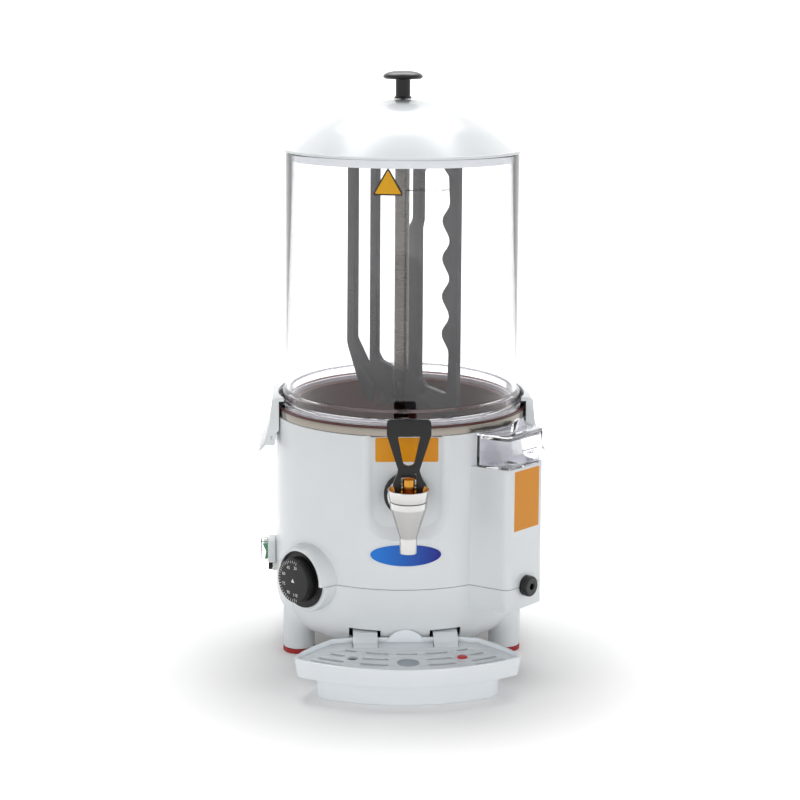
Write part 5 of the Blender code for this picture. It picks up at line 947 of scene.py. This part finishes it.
pin_line = eased([(0, PIN_HALF), (CLIP_PIN_R, PIN_HALF), (CLIP_PIN_R, -PIN_HALF), (0, -PIN_HALF)],
                 [0, 0.3, 0.3, 0], 2)
new_piece("lever_pin", turned_mesh(pin_line, steps=32), ground_steel, "lever", "steel", "tap_pin",
          place=across)


# Side clips: white moulded channels that swing on a steel pin in the drum's ears. Their hooks hold
# the tank's flange down, and a black rubber pad lines each hook.
CLIP_HALF = 38
CLIP_WALL = 2
CLIP_CLEAR_R = 127.3
HOOK_UNDER = 249.6
HOOK_CLEAR_R = 122.7
clip_white = moulded_plastic("moulded_white_clip_abs", "#E0E4E5", 0.3, 0.3, 0.02, 0.04)
clip_line = [(112, 249.6), (112, 253.8), (116.8, 253.8), (123.3, 252.9), (128.3, 251.2),
                   (130.4, 230.5), (136, 208.5), (141.5, 200.6), (140.3, 200), (134.2, 206.2),
                   (125.7, 205.6), (125, 210), (123.4, 220.3), (112, 220.3)]
clip_rounds = [0, 0, 2, 3, 2, 20, 4, 0.5, 0.3, 2, 1, 2, 3, 0]
channel_line = [(108, 246.6), (126.6, 246.6), (128.4, 230.5), (134, 208.5), (134.2, 202.2),
                      (108, 202.2)]
clear_line = [(0, 257.8), (HOOK_CLEAR_R, 257.8), (HOOK_CLEAR_R, HOOK_UNDER),
              (CLIP_CLEAR_R, HOOK_UNDER), (CLIP_CLEAR_R, 202.2), (0, 202.2)]
PAD_SPAN = math.radians(17.2)
PAD_STEPS = 20
pad_section = [(121.2, 249.3), (126.8, 249.3), (126.8, 234), (125.9, 234), (125.9, 247.4),
                     (121.2, 247.4)]
for side, name in ((-1, "left"), (1, "right")):
    place = clip_side(side)
    inner = CLIP_HALF - CLIP_WALL
    pin_place = place @ Matrix.Translation((CLIP_PIN_X, CLIP_PIN_Z, 0))
    new_piece("side_clip_" + name,
              slab_mesh(eased(clip_line, list(clip_rounds), 5), -CLIP_HALF, CLIP_HALF, edge=0.5),
              clip_white, "latch_" + name, "shell", "latch_" + name, place=place,
              cuts=[(turned_mesh(clear_line), HERE),
                    (slab_mesh(channel_line, -inner, inner), place),
                    (bore_mesh(CLIP_PIN_R + SEAM_GAP, -2 * CLIP_HALF, 2 * CLIP_HALF, 24), pin_place)])
    pin_line = eased([(0, CLIP_HALF), (CLIP_PIN_R, CLIP_HALF), (CLIP_PIN_R, -CLIP_HALF), (0, -CLIP_HALF)],
                     [0, 0.3, 0.3, 0], 2)
    new_piece("clip_pin_" + name, turned_mesh(pin_line, steps=32), ground_steel, "housing", "steel",
              "latch_pin_" + name, place=pin_place)
    rings = []
    for step in range(PAD_STEPS + 1):
        angle = PAD_SPAN * (2 * step / PAD_STEPS - 1)
        rings.append([(out * math.cos(angle), out * math.sin(angle), z)
                      for out, z in eased(pad_section, 0.5, 2)])
    new_piece("hook_pad_" + name, loft_mesh(rings), black_rubber, "latch_" + name, "rubber",
              "latch_pad_" + name, place=Matrix.Rotation(math.pi if side < 0 else 0, 4, "Z"))


# Dial: a ring and a knob moulded in black ABS with a fine matt grain. The knob's scale is printed
# in white: a fan of marks, six temperatures and a small pointer in the middle.
KNOB_FACE = 147
DIAL_R = 22
SPINDLE_R = 3
SPINDLE_END = 112
MARK_IN = 17.8
MARK_OUT = 20.2
MARK_HALF = 0.22
MARKS = 27
MARKS_FROM = 75
MARKS_SPAN = 210
POINTER_R = 2.6
INK = 0.05
TEMPERATURES = (30, 45, 60, 75, 90, 110)
FIGURE_R = 13.8
FIGURE_SIZE = 4.4
grained_black = moulded_plastic("black_grained_abs", "#121213", 0.42, 0.45, 0.08, 0.14,
                                Specular_IOR_Level=0.3)
white_ink = moulded_plastic("white_printing_ink", "#E9E9E6", 0.5, 0.2, 0.01, 0.05)
on_boss = outward(DIAL_TURN, 0, DIAL_Z)
bezel_low = BOSS_FACE + SEAM_GAP
bezel_line = eased([(BEZEL_R, bezel_low + BEZEL_THICK), (BEZEL_R, bezel_low), (6.2, bezel_low),
                    (6.2, bezel_low + BEZEL_THICK)], [0.8, 0.3, 0, 0.3])
new_piece("dial_ring", turned_mesh(bezel_line, steps=96), grained_black, "housing", "black",
          "thermostat_bezel", place=on_boss)
knob_low = bezel_low + BEZEL_THICK + SEAM_GAP
dial_line = eased([(0, KNOB_FACE), (DIAL_R - 0.5, KNOB_FACE), (DIAL_R, knob_low), (SPINDLE_R, knob_low),
                   (SPINDLE_R, SPINDLE_END), (0, SPINDLE_END)],
                  [0, 1.7, 0.5, 0, 0.3, 0], 5)
new_piece("dial_knob", turned_mesh(dial_line, steps=96), grained_black, "dial", "black",
          "thermostat_knob", place=on_boss)


def outline_mesh(loops, low, high):
    """Several flat outlines side by side, extruded as one mesh."""
    shape = bmesh.new()
    for loop in loops:
        rows = [[shape.verts.new((x, y, z)) for x, y in loop] for z in (low, high)]
        shape.faces.new(rows[0][::-1])
        shape.faces.new(rows[1])
        for index in range(len(loop)):
            shape.faces.new((rows[0][index - 1], rows[0][index], rows[1][index], rows[1][index - 1]))
    bmesh.ops.recalc_face_normals(shape, faces=shape.faces)
    mesh = bpy.data.meshes.new("print")
    shape.to_mesh(mesh)
    shape.free()
    return mesh


def text_mesh(words, size):
    """Centred plain lettering, as thick as a coat of ink."""
    curve = bpy.data.curves.new("lettering", "FONT")
    curve.body = str(words)
    curve.size = size
    curve.align_x = "CENTER"
    curve.align_y = "CENTER"
    curve.resolution_u = 4
    curve.extrude = INK / 2
    mesh = mesh_of(curve)
    mesh.transform(Matrix.Translation((0, 0, INK / 2)))
    return mesh


marks = []
for index in range(MARKS):
    angle = math.radians(MARKS_FROM + MARKS_SPAN * index / (MARKS - 1))
    out = Vector((math.cos(angle), math.sin(angle)))
    side = Vector((-out.y, out.x)) * MARK_HALF
    inner = out * (MARK_IN if index % 5 else MARK_IN - 0.8)
    outer = out * MARK_OUT
    marks.append([tuple(inner - side), tuple(outer - side), tuple(outer + side), tuple(inner + side)])
pointer = arc((0, 0), POINTER_R, 90, -150, 2)
face_on = facing(DIAL_TURN, KNOB_FACE, DIAL_Z)
new_piece("dial_scale", outline_mesh(marks + [pointer], 0, INK), white_ink, "dial", "black",
          place=face_on)
for index, degrees in enumerate(TEMPERATURES):
    angle = math.radians(MARKS_FROM + MARKS_SPAN * index / (len(TEMPERATURES) - 1))
    spot = Matrix.Translation((FIGURE_R * math.cos(angle), FIGURE_R * math.sin(angle), 0))
    new_piece("dial_figure_" + str(degrees), text_mesh(degrees, FIGURE_SIZE), white_ink, "dial",
              "black", place=face_on @ spot)


# Mains switch: a white flange snapped into the wall, a green rocker of tinted polycarbonate and a
# clear splash cover with rounded edges over it.
FLANGE_OUT = 133.5
PIVOT_OUT = 131.5
ROCKER_HALF = 8.5
ROCKER_TILT = math.radians(-7)
COVER_OUT = 141
switch_place = upright(SWITCH_TURN, 0, SWITCH_Z)
new_piece("switch_flange", block_mesh((125.8, -13.5, -11.25), (FLANGE_OUT, 13.5, 11.25), 1.5, 4),
          clip_white, "housing", "shell", "switch_body", place=switch_place,
          joins=[(block_mesh((104, -10.5, -8.8), (128, 10.5, 8.8), 0.5), switch_place)],
          cuts=[(block_mesh((127.5, -9, -9.5), (FLANGE_OUT + WALL, 9, 9.5)), switch_place)])
green_lens = moulded_plastic("green_tinted_polycarbonate", "#0B7A4A", 0.18, 0.6, 0.02, 0.12)
rocker_line = [(-2, -5.5), (6.6, -8.3), (4.2, 0), (6.6, 8.3), (-2, 5.5)]
tilted = Matrix.Rotation(ROCKER_TILT, 2)
rocker_line = [tuple(tilted @ Vector(point)) for point in eased(rocker_line, [0.8, 0.8, 5,
                                                                             0.8, 0.8], 6)]
new_piece("green_rocker", slab_mesh(rocker_line, -ROCKER_HALF, ROCKER_HALF, edge=0.5), green_lens,
          "rocker", "green", "switch_rocker", place=upright(SWITCH_TURN, PIVOT_OUT, SWITCH_Z)
          @ Matrix.Rotation(math.pi / 2, 4, "X"))
clear_vinyl = clear_plastic("clear_pvc_cover", "#B7C6BE", 0.04, index=1.3)
new_piece("splash_cover",
          block_mesh((FLANGE_OUT + SEAM_GAP, -11.5, -10.8), (COVER_OUT, 11.5, 10.8), 1.2, 3),
          clear_vinyl, "housing", "clear", "switch_cover", place=switch_place,
          cuts=[(block_mesh((FLANGE_OUT - WALL, -10.3, -9.6), (COVER_OUT - 1.2, 10.3, 9.6), 0.4),
                 switch_place)])


# Reset button of the safety cut-out: a black push cap with a stem, ribbed round its side for grip.
BUTTON_R = 4.4
BUTTON_FACE = 133.2
BUTTON_LOW = 129.3
BUTTON_STEM_R = 2.5
BUTTON_STEM_END = 110.3
RIBS = 16
RIB_DEPTH = 0.35
rim_points = []
for step in range(RIBS * 4):
    out = BUTTON_R - RIB_DEPTH * (step % 4 in (2, 3))
    angle = 2 * math.pi * step / (RIBS * 4)
    rim_points.append((out * math.cos(angle), out * math.sin(angle)))
new_piece("reset_cap", slab_mesh(rim_points, BUTTON_LOW, BUTTON_FACE), black_phenolic, "reset", "black",
          "reset_button", place=outward(SWITCH_TURN, 0, RESET_Z),
          joins=[(bore_mesh(BUTTON_STEM_R, BUTTON_STEM_END, BUTTON_LOW + 1, 32),
                  outward(SWITCH_TURN, 0, RESET_Z))])


# Filling box of the water bath: a clear SAN box glued on the column, with a loose clear lid and a
# round grip on it. MAX and MIN lines are printed in black on its outer face.
BOX_BACK = 126.2
BOX_LOW = 202
BOX_TOP = 232.2
BOX_WALL = 2
BOX_LID_LOW = 232.5
BOX_LID_TOP = 234.3
GRIP_OUT = 148
GRIP_TOP = 246
GRIP_HALF = 10.5
GRIP_MIDDLE = 2
PIPE_R = 6
MAX_Z = 218
MIN_Z = 204
box_clear = clear_plastic("clear_filling_box_san", "#8688C0", 0.03, 0.12)
column_slope = (COLUMN_ROOT_HALF - COLUMN_HALF) / (COLUMN_REACH - COLUMN_ROOT)


def box_outline(inset=0.0):
    back_half = COLUMN_ROOT_HALF - column_slope * (BOX_BACK - COLUMN_ROOT) - inset
    corner = COLUMN_CORNER - inset
    corners = [(BOX_BACK + inset, -back_half), (COLUMN_REACH - inset, inset - COLUMN_HALF),
               (COLUMN_REACH - inset, COLUMN_HALF - inset), (BOX_BACK + inset, back_half)]
    return eased(corners, [0.8, corner, corner, 0.8], 8)


new_piece("filling_box", slab_mesh(box_outline(), BOX_LOW, BOX_TOP, edge=0.5), box_clear, "housing",
          "clear", "water_box", place=upright(COLUMN_TURN),
          cuts=[(slab_mesh(box_outline(BOX_WALL), BOX_LOW + BOX_WALL, BOX_TOP + WALL),
                 upright(COLUMN_TURN)),
                (bore_mesh(PIPE_R + SEAM_GAP, BOX_LOW - WALL, BOX_LOW + 2 * WALL, 32),
                 upright(COLUMN_TURN, PIPE_OUT))])
grip_line = [(GRIP_MIDDLE - GRIP_HALF, BOX_LID_LOW + 1), (GRIP_MIDDLE + GRIP_HALF, BOX_LID_LOW + 1)]
grip_line += arc((GRIP_MIDDLE, GRIP_TOP - GRIP_HALF), GRIP_HALF, 0, 180, 32)
new_piece("filling_box_lid", slab_mesh(box_outline(), BOX_LID_LOW, BOX_LID_TOP, edge=0.5), box_clear,
          "box_lid", "clear", "water_box_lid", place=upright(COLUMN_TURN),
          joins=[(slab_mesh(box_outline(BOX_WALL + SEAM_GAP), BOX_TOP - WALL, BOX_LID_LOW + 1),
                  upright(COLUMN_TURN)),
                 (slab_mesh(grip_line, -1.25, 1.25, edge=0.5), facing(COLUMN_TURN, GRIP_OUT))])
black_ink = moulded_plastic("black_printing_ink", "#1C1C1E", 0.5, 0.2, 0.01, 0.05)


def bent_mesh(mesh, spot, spacing=2):
    """A flat mesh laid on a curved wall; spot gives the place and the way out for each step round."""
    shape = bmesh.new()
    shape.from_mesh(mesh)
    reach = [vert.co.x for vert in shape.verts]
    count = int((max(reach) - min(reach)) / spacing)
    for index in range(1, count):
        everything = list(shape.verts) + list(shape.edges) + list(shape.faces)
        bmesh.ops.bisect_plane(shape, geom=everything, plane_co=(min(reach) + index * spacing, 0, 0),
                               plane_no=(1, 0, 0))
    for vert in shape.verts:
        across, up, lift = vert.co
        place, out = spot(across)
        vert.co = (place[0] + out[0] * lift, place[1] + out[1] * lift, up)
    shape.to_mesh(mesh)
    shape.free()
    return mesh


def round_column(across):
    """Steps round the column's outer face, its corners and its sides, in the column's frame."""
    flat = COLUMN_HALF - COLUMN_CORNER
    turn = min(max(abs(across) - flat, 0) / COLUMN_CORNER, math.pi / 2)
    past = max(abs(across) - flat - COLUMN_CORNER * math.pi / 2, 0)
    side = math.copysign(1, across)
    y = min(abs(across), flat) + COLUMN_CORNER * math.sin(turn)
    x = COLUMN_REACH - COLUMN_CORNER * (1 - math.cos(turn)) - past
    return (x, side * y), (math.cos(turn), side * math.sin(turn))


level_lines = [("box_line_max", MAX_Z, (-8, 15.6)), ("box_line_min", MIN_Z, (-6.3, 16.7))]
for name, height, (start, end) in level_lines:
    strip = block_mesh((start, height - 0.35, 0), (end, height + 0.35, INK))
    new_piece(name, bent_mesh(strip, round_column), black_ink, "housing", "black",
              place=upright(COLUMN_TURN))
for words, height in (("MAX", MAX_Z - 3.4), ("MIN", MIN_Z + 3.2)):
    letters = text_mesh(words, 5)
    letters.transform(Matrix.Translation((4.6, height, 0)))
    new_piece("box_word_" + words.lower(), bent_mesh(letters, round_column), black_ink, "housing",
              "black", place=upright(COLUMN_TURN))


# Drain plug: turned from black plastic with a round grip hole, pushed into the drain pipe.
PLUG_R = 10
PLUG_LOW = 160.8
PLUG_FACE = 168.6
PLUG_END = 146.8
plug_line = eased([(0, PLUG_FACE - 4), (3, PLUG_FACE - 4), (3, PLUG_FACE),
                   (PLUG_R, PLUG_FACE), (PLUG_R, PLUG_LOW), (6.2, PLUG_LOW), (6.2, PLUG_END),
                   (0, PLUG_END)], [0, 0, 0.8, 2.2, 0.5, 0, 0.5, 0], 4)
new_piece("bath_plug", turned_mesh(plug_line, steps=64), black_phenolic, "plug", "black", "drain_plug",
          place=outward(COLUMN_TURN, 0, SEAM_Z))


# Drip tray: moulded in a slightly blue white ABS. A drafted rim stands on a smaller pan, two hooks go
# into slots in the housing, and a round grip rises at the back.
TRAY_ARC_Y = -29
TRAY_REACH = 214
TRAY_TOP = 38
TRAY_SKIRT_LOW = 20
TRAY_DRAFT = 3
TRAY_WALL = 3.5
TRAY_LEDGE = 7
LEDGE_Z = 31.2
TRAY_FLOOR_Z = 23
TRAY_BACK = 121.5
TRAY_BACK_HALF = 52
TRAY_CORNER_X = 101.5
PAN_WALL = 2.5
PAN_REACH = 203.5
PAN_BACK = 128
PAN_CORNER_X = 78.5
ARC_POINTS = 24
HOOK_SPAN = (26.7, 49.8)
GRIP_R = 20
GRIP_Z = 25.8


def front_line(reach, corner_x):
    """Points on the round front edge from its right end to the middle."""
    radius = reach + TRAY_ARC_Y
    start = math.degrees(math.acos(corner_x / radius))
    line = arc((0, TRAY_ARC_Y), radius, -start, -90, ARC_POINTS)
    return line[:-1] + [(0, -reach)]


def both_halves(half):
    """An outline from its right half, which starts and ends on the middle line."""
    return half + [(-x, y) for x, y in half[-2:0:-1]]


def inset(outline, distance):
    """Every side of a closed outline moved inward by the same distance."""
    area = sum(here[0] * there[1] - there[0] * here[1]
               for here, there in zip(outline, outline[1:] + outline[:1]))
    turn = math.copysign(1, area)
    found = []
    for index, point in enumerate(outline):
        here = Vector(point)
        before = (here - Vector(outline[index - 1])).normalized()
        after = (Vector(outline[(index + 1) % len(outline)]) - here).normalized()
        normal = (Vector((-before.y, before.x)) + Vector((-after.y, after.x))).normalized()
        room = distance / max(normal.dot(Vector((-before.y, before.x))), 0.2)
        found.append(tuple(here + normal * room * turn))
    return found


def swept_mesh(outline, section):
    """A solid whose side follows a section of (inset, height) all round an outline."""
    return loft_mesh([[(x, y, z) for x, y in inset(outline, room)] for room, z in section])


tray_white = moulded_plastic("bluish_white_tray_abs", "#EFF4F8", 0.2, 0.3, 0.015, 0.03)
side_line = [(71.5, -126), (88, -145), (98, -159), (104.5, -172), (105, -180)]
rim_line = both_halves([(0, -TRAY_BACK), (TRAY_BACK_HALF, -TRAY_BACK)] + side_line
                       + front_line(TRAY_REACH, TRAY_CORNER_X))
pan_side = [(59, -128), (80, -142), (84, -151), (84, -178)]
pan_line = both_halves([(0, -PAN_BACK)] + pan_side + front_line(PAN_REACH, PAN_CORNER_X))
rim_section = eased([(TRAY_DRAFT + 1, TRAY_SKIRT_LOW), (TRAY_DRAFT, TRAY_SKIRT_LOW),
                     (0, TRAY_TOP), (TRAY_WALL, TRAY_TOP), (TRAY_WALL, LEDGE_Z), (TRAY_LEDGE, LEDGE_Z),
                     (TRAY_LEDGE, TRAY_FLOOR_Z)], [0, 1, 1.6, 1, 0, 0.5, 0], 4)
pan_section = eased([(3, 0), (0.4, 0), (0, TRAY_FLOOR_Z - 2)], [0, 1.6, 0], 4)
hook_line = [(-100, 38.8), (-100, 41.8), (-121.5, 41.8), (-127, 39.5), (-133, 36.2), (-140, 34.5),
                   (-140, 22), (-127.5, 22), (-127.5, 34.5), (-121.5, 38.8)]
hook_line = eased(hook_line, [1, 1, 4, 2, 4, 1, 0, 0, 2, 2], 5)
joins = [(swept_mesh(pan_line, pan_section), HERE),
         (slab_mesh(arc((0, GRIP_Z), GRIP_R, 8, 172, 40), -1.25, 1.25, edge=0.7, segments=3),
          front_view(124.65))]
for side in (-1, 1):
    near, far = sorted((side * HOOK_SPAN[0], side * HOOK_SPAN[1]))
    joins.append((slab_mesh(hook_line, near, far, edge=0.4), facing(0)))
pan_room = slab_mesh(inset(pan_line, PAN_WALL), PAN_WALL, TRAY_FLOOR_Z + WALL)
new_piece("tray_shell", swept_mesh(rim_line, rim_section), tray_white, "tray", "tray", "drip_tray",
          joins=joins, cuts=[(pan_room, HERE)])


# Grid: a loose slotted plate of the same plastic on the tray's ledge, with round-ended slots in
# bows, a shallow dish under the spout painted grey as painted shade, a hole for the float and a
# blind one opposite.
GRID_LOW = 31.5
GRID_TOP = 34
GRID_PLAY = 0.5
GRID_BACK = 126.4
NOTCH = (26, 50.6)
NOTCH_FRONT = 140.5
SLOT_HALF = 2.3
ROWS = ((131, ((-3.5, 3.5), (8.3, 16.4), (21.8, 25.5))), (146.5, ((7.7, 16), (24.2, 28.6))),
        (161.5, ((7.2, 15.4), (22.3, 30.2))), (172.5, ((21.4, 31.3),)))
FLOAT_PLACE = (51, -169.5)
FLOAT_R = 4.8
DISH_R = 11
DISH_Y = -183
DISH_DEPTH = 1


def bow_slot(radius, start, end):
    """A slot with round ends on an arc about the centre of the front edge, in degrees from the front."""
    centre = Vector((0, TRAY_ARC_Y))
    line = arc(centre, radius + SLOT_HALF, start - 90, end - 90, 12)
    for angle, first in ((end - 90, end - 90), (start - 90, start + 90)):
        middle = centre + Vector((math.cos(math.radians(angle)), math.sin(math.radians(angle)))) * radius
        cap = arc(middle, SLOT_HALF, first, first + 180, 6)[1:-1]
        if first == end - 90:
            line += cap + arc(centre, radius - SLOT_HALF, end - 90, start - 90, 12)
        else:
            line += cap
    return line


half = [(0, -GRID_BACK), (NOTCH[0], -GRID_BACK), (NOTCH[0], -NOTCH_FRONT), (NOTCH[1], -NOTCH_FRONT),
        (NOTCH[1], -GRID_BACK)]
edge_line = inset(rim_line, TRAY_WALL + GRID_PLAY)[:len(rim_line) // 2]
half += [(x, y) for x, y in edge_line if x > NOTCH[1] and y < -GRID_BACK]
half += [(x, y) for x, y in edge_line if 1 < x <= NOTCH[1] and y < -NOTCH_FRONT]
half += [(0, -(TRAY_REACH - TRAY_WALL - GRID_PLAY))]
slots = []
for radius, spans in ROWS:
    for start, end in spans:
        slots.append(bow_slot(radius, start, end))
        if start > 0:
            slots.append(bow_slot(radius, -end, -start))
for side in (-1, 1):
    slots.append(arc((side * FLOAT_PLACE[0], FLOAT_PLACE[1]), FLOAT_R + SEAM_GAP, 0, 352.5, 47))
dish_line = eased([(0, GRID_TOP - DISH_DEPTH), (DISH_R - DISH_DEPTH, GRID_TOP - DISH_DEPTH),
                   (DISH_R, GRID_TOP + DISH_DEPTH), (0, GRID_TOP + DISH_DEPTH)], [0, 0.8, 0, 0], 4)
# The dish's grey is painted shade: it stands in for the shaded inside of a hole under the spout.
dish_painted_shade = moulded_plastic("grey_dish_painted_shade", "#A9B1BA", 0.45, 0.4, 0.04, 0.15)
grid = new_piece("slotted_grid", slab_mesh(both_halves(half), GRID_LOW, GRID_TOP, slots, 0.45, 2),
                 tray_white, "grid", "tray", "drip_grid",
                 cuts=[(turned_mesh(dish_line, steps=64), Matrix.Translation((0, DISH_Y, 0)))])
dish_middle = Vector((0, DISH_Y, GRID_TOP - DISH_DEPTH))
# Painted shade: the floor faces of the dish take the grey.
paint_faces(grid, dish_painted_shade, lambda middle, way: (middle - dish_middle).length < DISH_R and GRID_TOP
            - 1.2 < middle.z < GRID_TOP - 0.1)


# Float: a red polypropylene plug in the tray's pan. Its round cap rises through the grid when full.
FLOAT_TOP = 35.5
FLOAT_BODY_R = 8.5
FLOAT_BODY_TOP = 14
red_polypropylene = moulded_plastic("red_float_polypropylene", "#D01616", 0.25, 0.4, 0.02, 0.08)
float_line = [(0, FLOAT_TOP), (FLOAT_R, FLOAT_TOP), (FLOAT_R, FLOAT_BODY_TOP),
              (FLOAT_BODY_R, FLOAT_BODY_TOP), (FLOAT_BODY_R, PAN_WALL + SEAM_GAP),
              (0, PAN_WALL + SEAM_GAP)]
float_line = eased(float_line, [0, 2, 0.5, 1, 1, 0], 6)
new_piece("level_float", turned_mesh(float_line, steps=48), red_polypropylene, "float", "red",
          "tray_float", place=Matrix.Translation((*FLOAT_PLACE, 0)))


# Terminal cover: a white moulded box screwed on the back of the drum. The lead would enter through
# the black nylon gland in its floor.
COVER_ROOT = 112
COVER_HALF = 45
COVER_LOW = 40
COVER_TOP = 150
REAR_REACH = 150
GLAND_OUT = 138.5
REAR = upright(math.pi / 2)
inner = COVER_HALF - WALL
new_piece("terminal_cover",
          block_mesh((COVER_ROOT, -COVER_HALF, COVER_LOW), (REAR_REACH, COVER_HALF, COVER_TOP), 4, 5),
          white_abs, "housing", "shell", "rear_cover", place=REAR,
          cuts=[(bore_mesh(DRUM_R + SEAM_GAP, COVER_LOW - WALL, COVER_TOP + WALL, ROUND_STEPS), HERE),
                (block_mesh((COVER_ROOT - WALL, -inner, COVER_LOW + WALL),
                            (REAR_REACH - WALL, inner, COVER_TOP - WALL), 2), REAR),
                (bore_mesh(5.3, COVER_LOW - WALL, COVER_LOW + 2 * WALL, 32),
                 upright(math.pi / 2, GLAND_OUT))])
gland_line = [(5, 47), (5, 39.7), (8, 39.7), (8, 33.5), (6, 26), (3.5, 26), (3.5, 47)]
gland_line = eased(gland_line, [0.4, 0, 0.6, 1.5, 0.8, 0.4, 0.4], 3)
new_piece("lead_gland", turned_mesh(gland_line, steps=48), black_nylon, "housing", "black",
          "cable_gland", place=upright(math.pi / 2, GLAND_OUT))


# Labels: vinyl film with rounded corners, left blank. Two orange ones are on the drum and the column,
# a yellow triangle with a dark border is on the tank, and a domed blue badge is under the tap.
FILM = 0.12


def printed_film(name, near_code, far_code, start, end, roughness=0.3):
    """Glossy printed film: one ink that runs into the next along X, with a faint orange-peel skin."""
    material, tree = new_material(name)
    where = add_node(tree, "TexCoord")
    split = add_node(tree, "SeparateXYZ", {"Vector": (where, "Object")})
    share = add_node(tree, "MapRange", {"Value": (split, "X")}, From_Min=start * mm, From_Max=end * mm)
    tone = add_node(tree, "MixRGB", {0: (share, "Result")}, Color1=linear(near_code),
                    Color2=linear(far_code))
    peel = add_node(tree, "TexNoise", {"Vector": (where, "Object")}, Scale=900.0, Detail=2.0)
    bump = add_node(tree, "Bump", {"Height": (peel, "Fac")}, Strength=0.1, Distance=0.01 * mm)
    shader = add_node(tree, "BsdfPrincipled", {"Base Color": (tone, "Color"), "Normal": (bump, "Normal")},
                      Roughness=roughness, IOR=1.5, Specular_IOR_Level=0.3)
    show_shader(tree, shader)
    return material


def round_wall(radius):
    """Steps round a wall about the drum's axis, from the front."""
    def spot(across):
        angle = across / radius
        out = (math.sin(angle), -math.cos(angle))
        return (radius * out[0], radius * out[1]), out
    return spot


def card(left, low, right, high, radius):
    """A rectangle with rounded corners."""
    return eased([(left, low), (right, low), (right, high), (left, high)], radius, 5)


orange_film = printed_film("orange_vinyl_film", "#DE9410", "#DA8C0D", -30, 30)
new_piece("recess_label", slab_mesh(card(-29.2, 208, 30.4, 231.4, 2), 0, FILM), orange_film, "housing",
          "shell", place=front_view(RECESS_Y))
column_label = slab_mesh(card(-25, 141, 24, 199.3, 2), 0, FILM)
new_piece("column_label", bent_mesh(column_label, round_column, 1), orange_film, "housing", "shell",
          place=upright(COLUMN_TURN))
dark_border = printed_film("black_vinyl_border", "#2A2622", "#2A2622", 0, 1)
yellow_film = printed_film("yellow_vinyl_film", "#DDA510", "#D79B0C", -35, 0)
triangle = [(-18.4, 486.1), (-33.3, 459.6), (-3.5, 459.6)]
for name, room, low, high, film in (("triangle_border", 0, 0, FILM, dark_border),
                                    ("triangle_face", 1.5, FILM, 2 * FILM, yellow_film)):
    flat = slab_mesh(eased(inset(triangle, room), 2.2 - room, 5), low, high)
    new_piece(name, bent_mesh(flat, round_wall(TANK_R), 1.5), film, "housing", "clear")
badge_blue = printed_film("blue_badge_under_resin", "#0078DA", "#06188C", -30, 30, 0.12)
badge_line = [(33.75 * x, 119.2 + 10.3 * y) for x, y in arc((0, 0), 1, 0, 356.25, 95)]
new_piece("plain_badge",
          bent_mesh(slab_mesh(badge_line, 0, 1.2, edge=0.5, segments=3), round_wall(DRUM_R), 1.5),
          badge_blue, "housing", "shell")


# Level mark of the tank: a thin dark line printed on the wall in two parts, with its words between.
MARK_Z = 464.5
grey_ink = moulded_plastic("dark_grey_printing_ink", "#26262A", 0.5, 0.2, 0.01, 0.05)
for name, (start, end) in (("tank_mark_left", (-0.8, 9.5)), ("tank_mark_right", (31.5, 40))):
    strip = block_mesh((start, MARK_Z - 0.4, 0), (end, MARK_Z + 0.4, INK))
    new_piece(name, bent_mesh(strip, round_wall(TANK_R)), grey_ink, "housing", "clear")
letters = text_mesh("MAX LEVEL", 3.6)
letters.transform(Matrix.Translation((20.5, MARK_Z, 0)))
new_piece("tank_word_max", bent_mesh(letters, round_wall(TANK_R)), grey_ink, "housing", "clear")


# Parts inside the machine, and the pins and plates that show little: their solids stay as they
# are, each with the finish of its real material.
pressed_steel = worked_metal("pressed_stainless_sheet", "#C4C2BD", 0.32, (200, 200, 900))
plated_steel = worked_metal("zinc_plated_steel", "#B9BBB8", 0.35, (150, 150, 150), 0.2)
drawn_brass = worked_metal("drawn_brass", "#C79A4B", 0.3, (60, 60, 1500))
cast_grey = moulded_plastic("grey_cast_gearbox", "#74787B", 0.5, 0.8, 0.08, 0.12)
white_nylon = moulded_plastic("white_nylon_moulding", "#DADAD6", 0.4, 0.3, 0.02, 0.05)
clear_silicone = moulded_plastic("translucent_silicone_seal", "#C9C7CC", 0.45, 0.3, 0.02, 0.06)
LEFT_AS_SOLIDS = {
    "water_jacket": pressed_steel, "base_plate": pressed_steel, "motor_plate": plated_steel,
    "heater": pressed_steel, "level_pipe": drawn_tube, "drain_pipe": drawn_tube,
    "drive_shaft": ground_steel, "drive_coupling": ground_steel, "lid_screw": plated_steel,
    "gearbox": cast_grey, "gear_motor": plated_steel, "thermostat_body": white_nylon,
    "thermostat_bulb": drawn_brass, "safety_cutout": white_nylon, "tap_nut": plated_steel,
    "tap_seal": black_rubber, "plunger_seal": black_rubber, "tap_spring": ground_steel,
    "tank_seal": clear_silicone,
}
for node, finish in LEFT_AS_SOLIDS.items():
    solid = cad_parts[node]
    solid.data.materials.clear()
    solid.data.materials.append(finish)
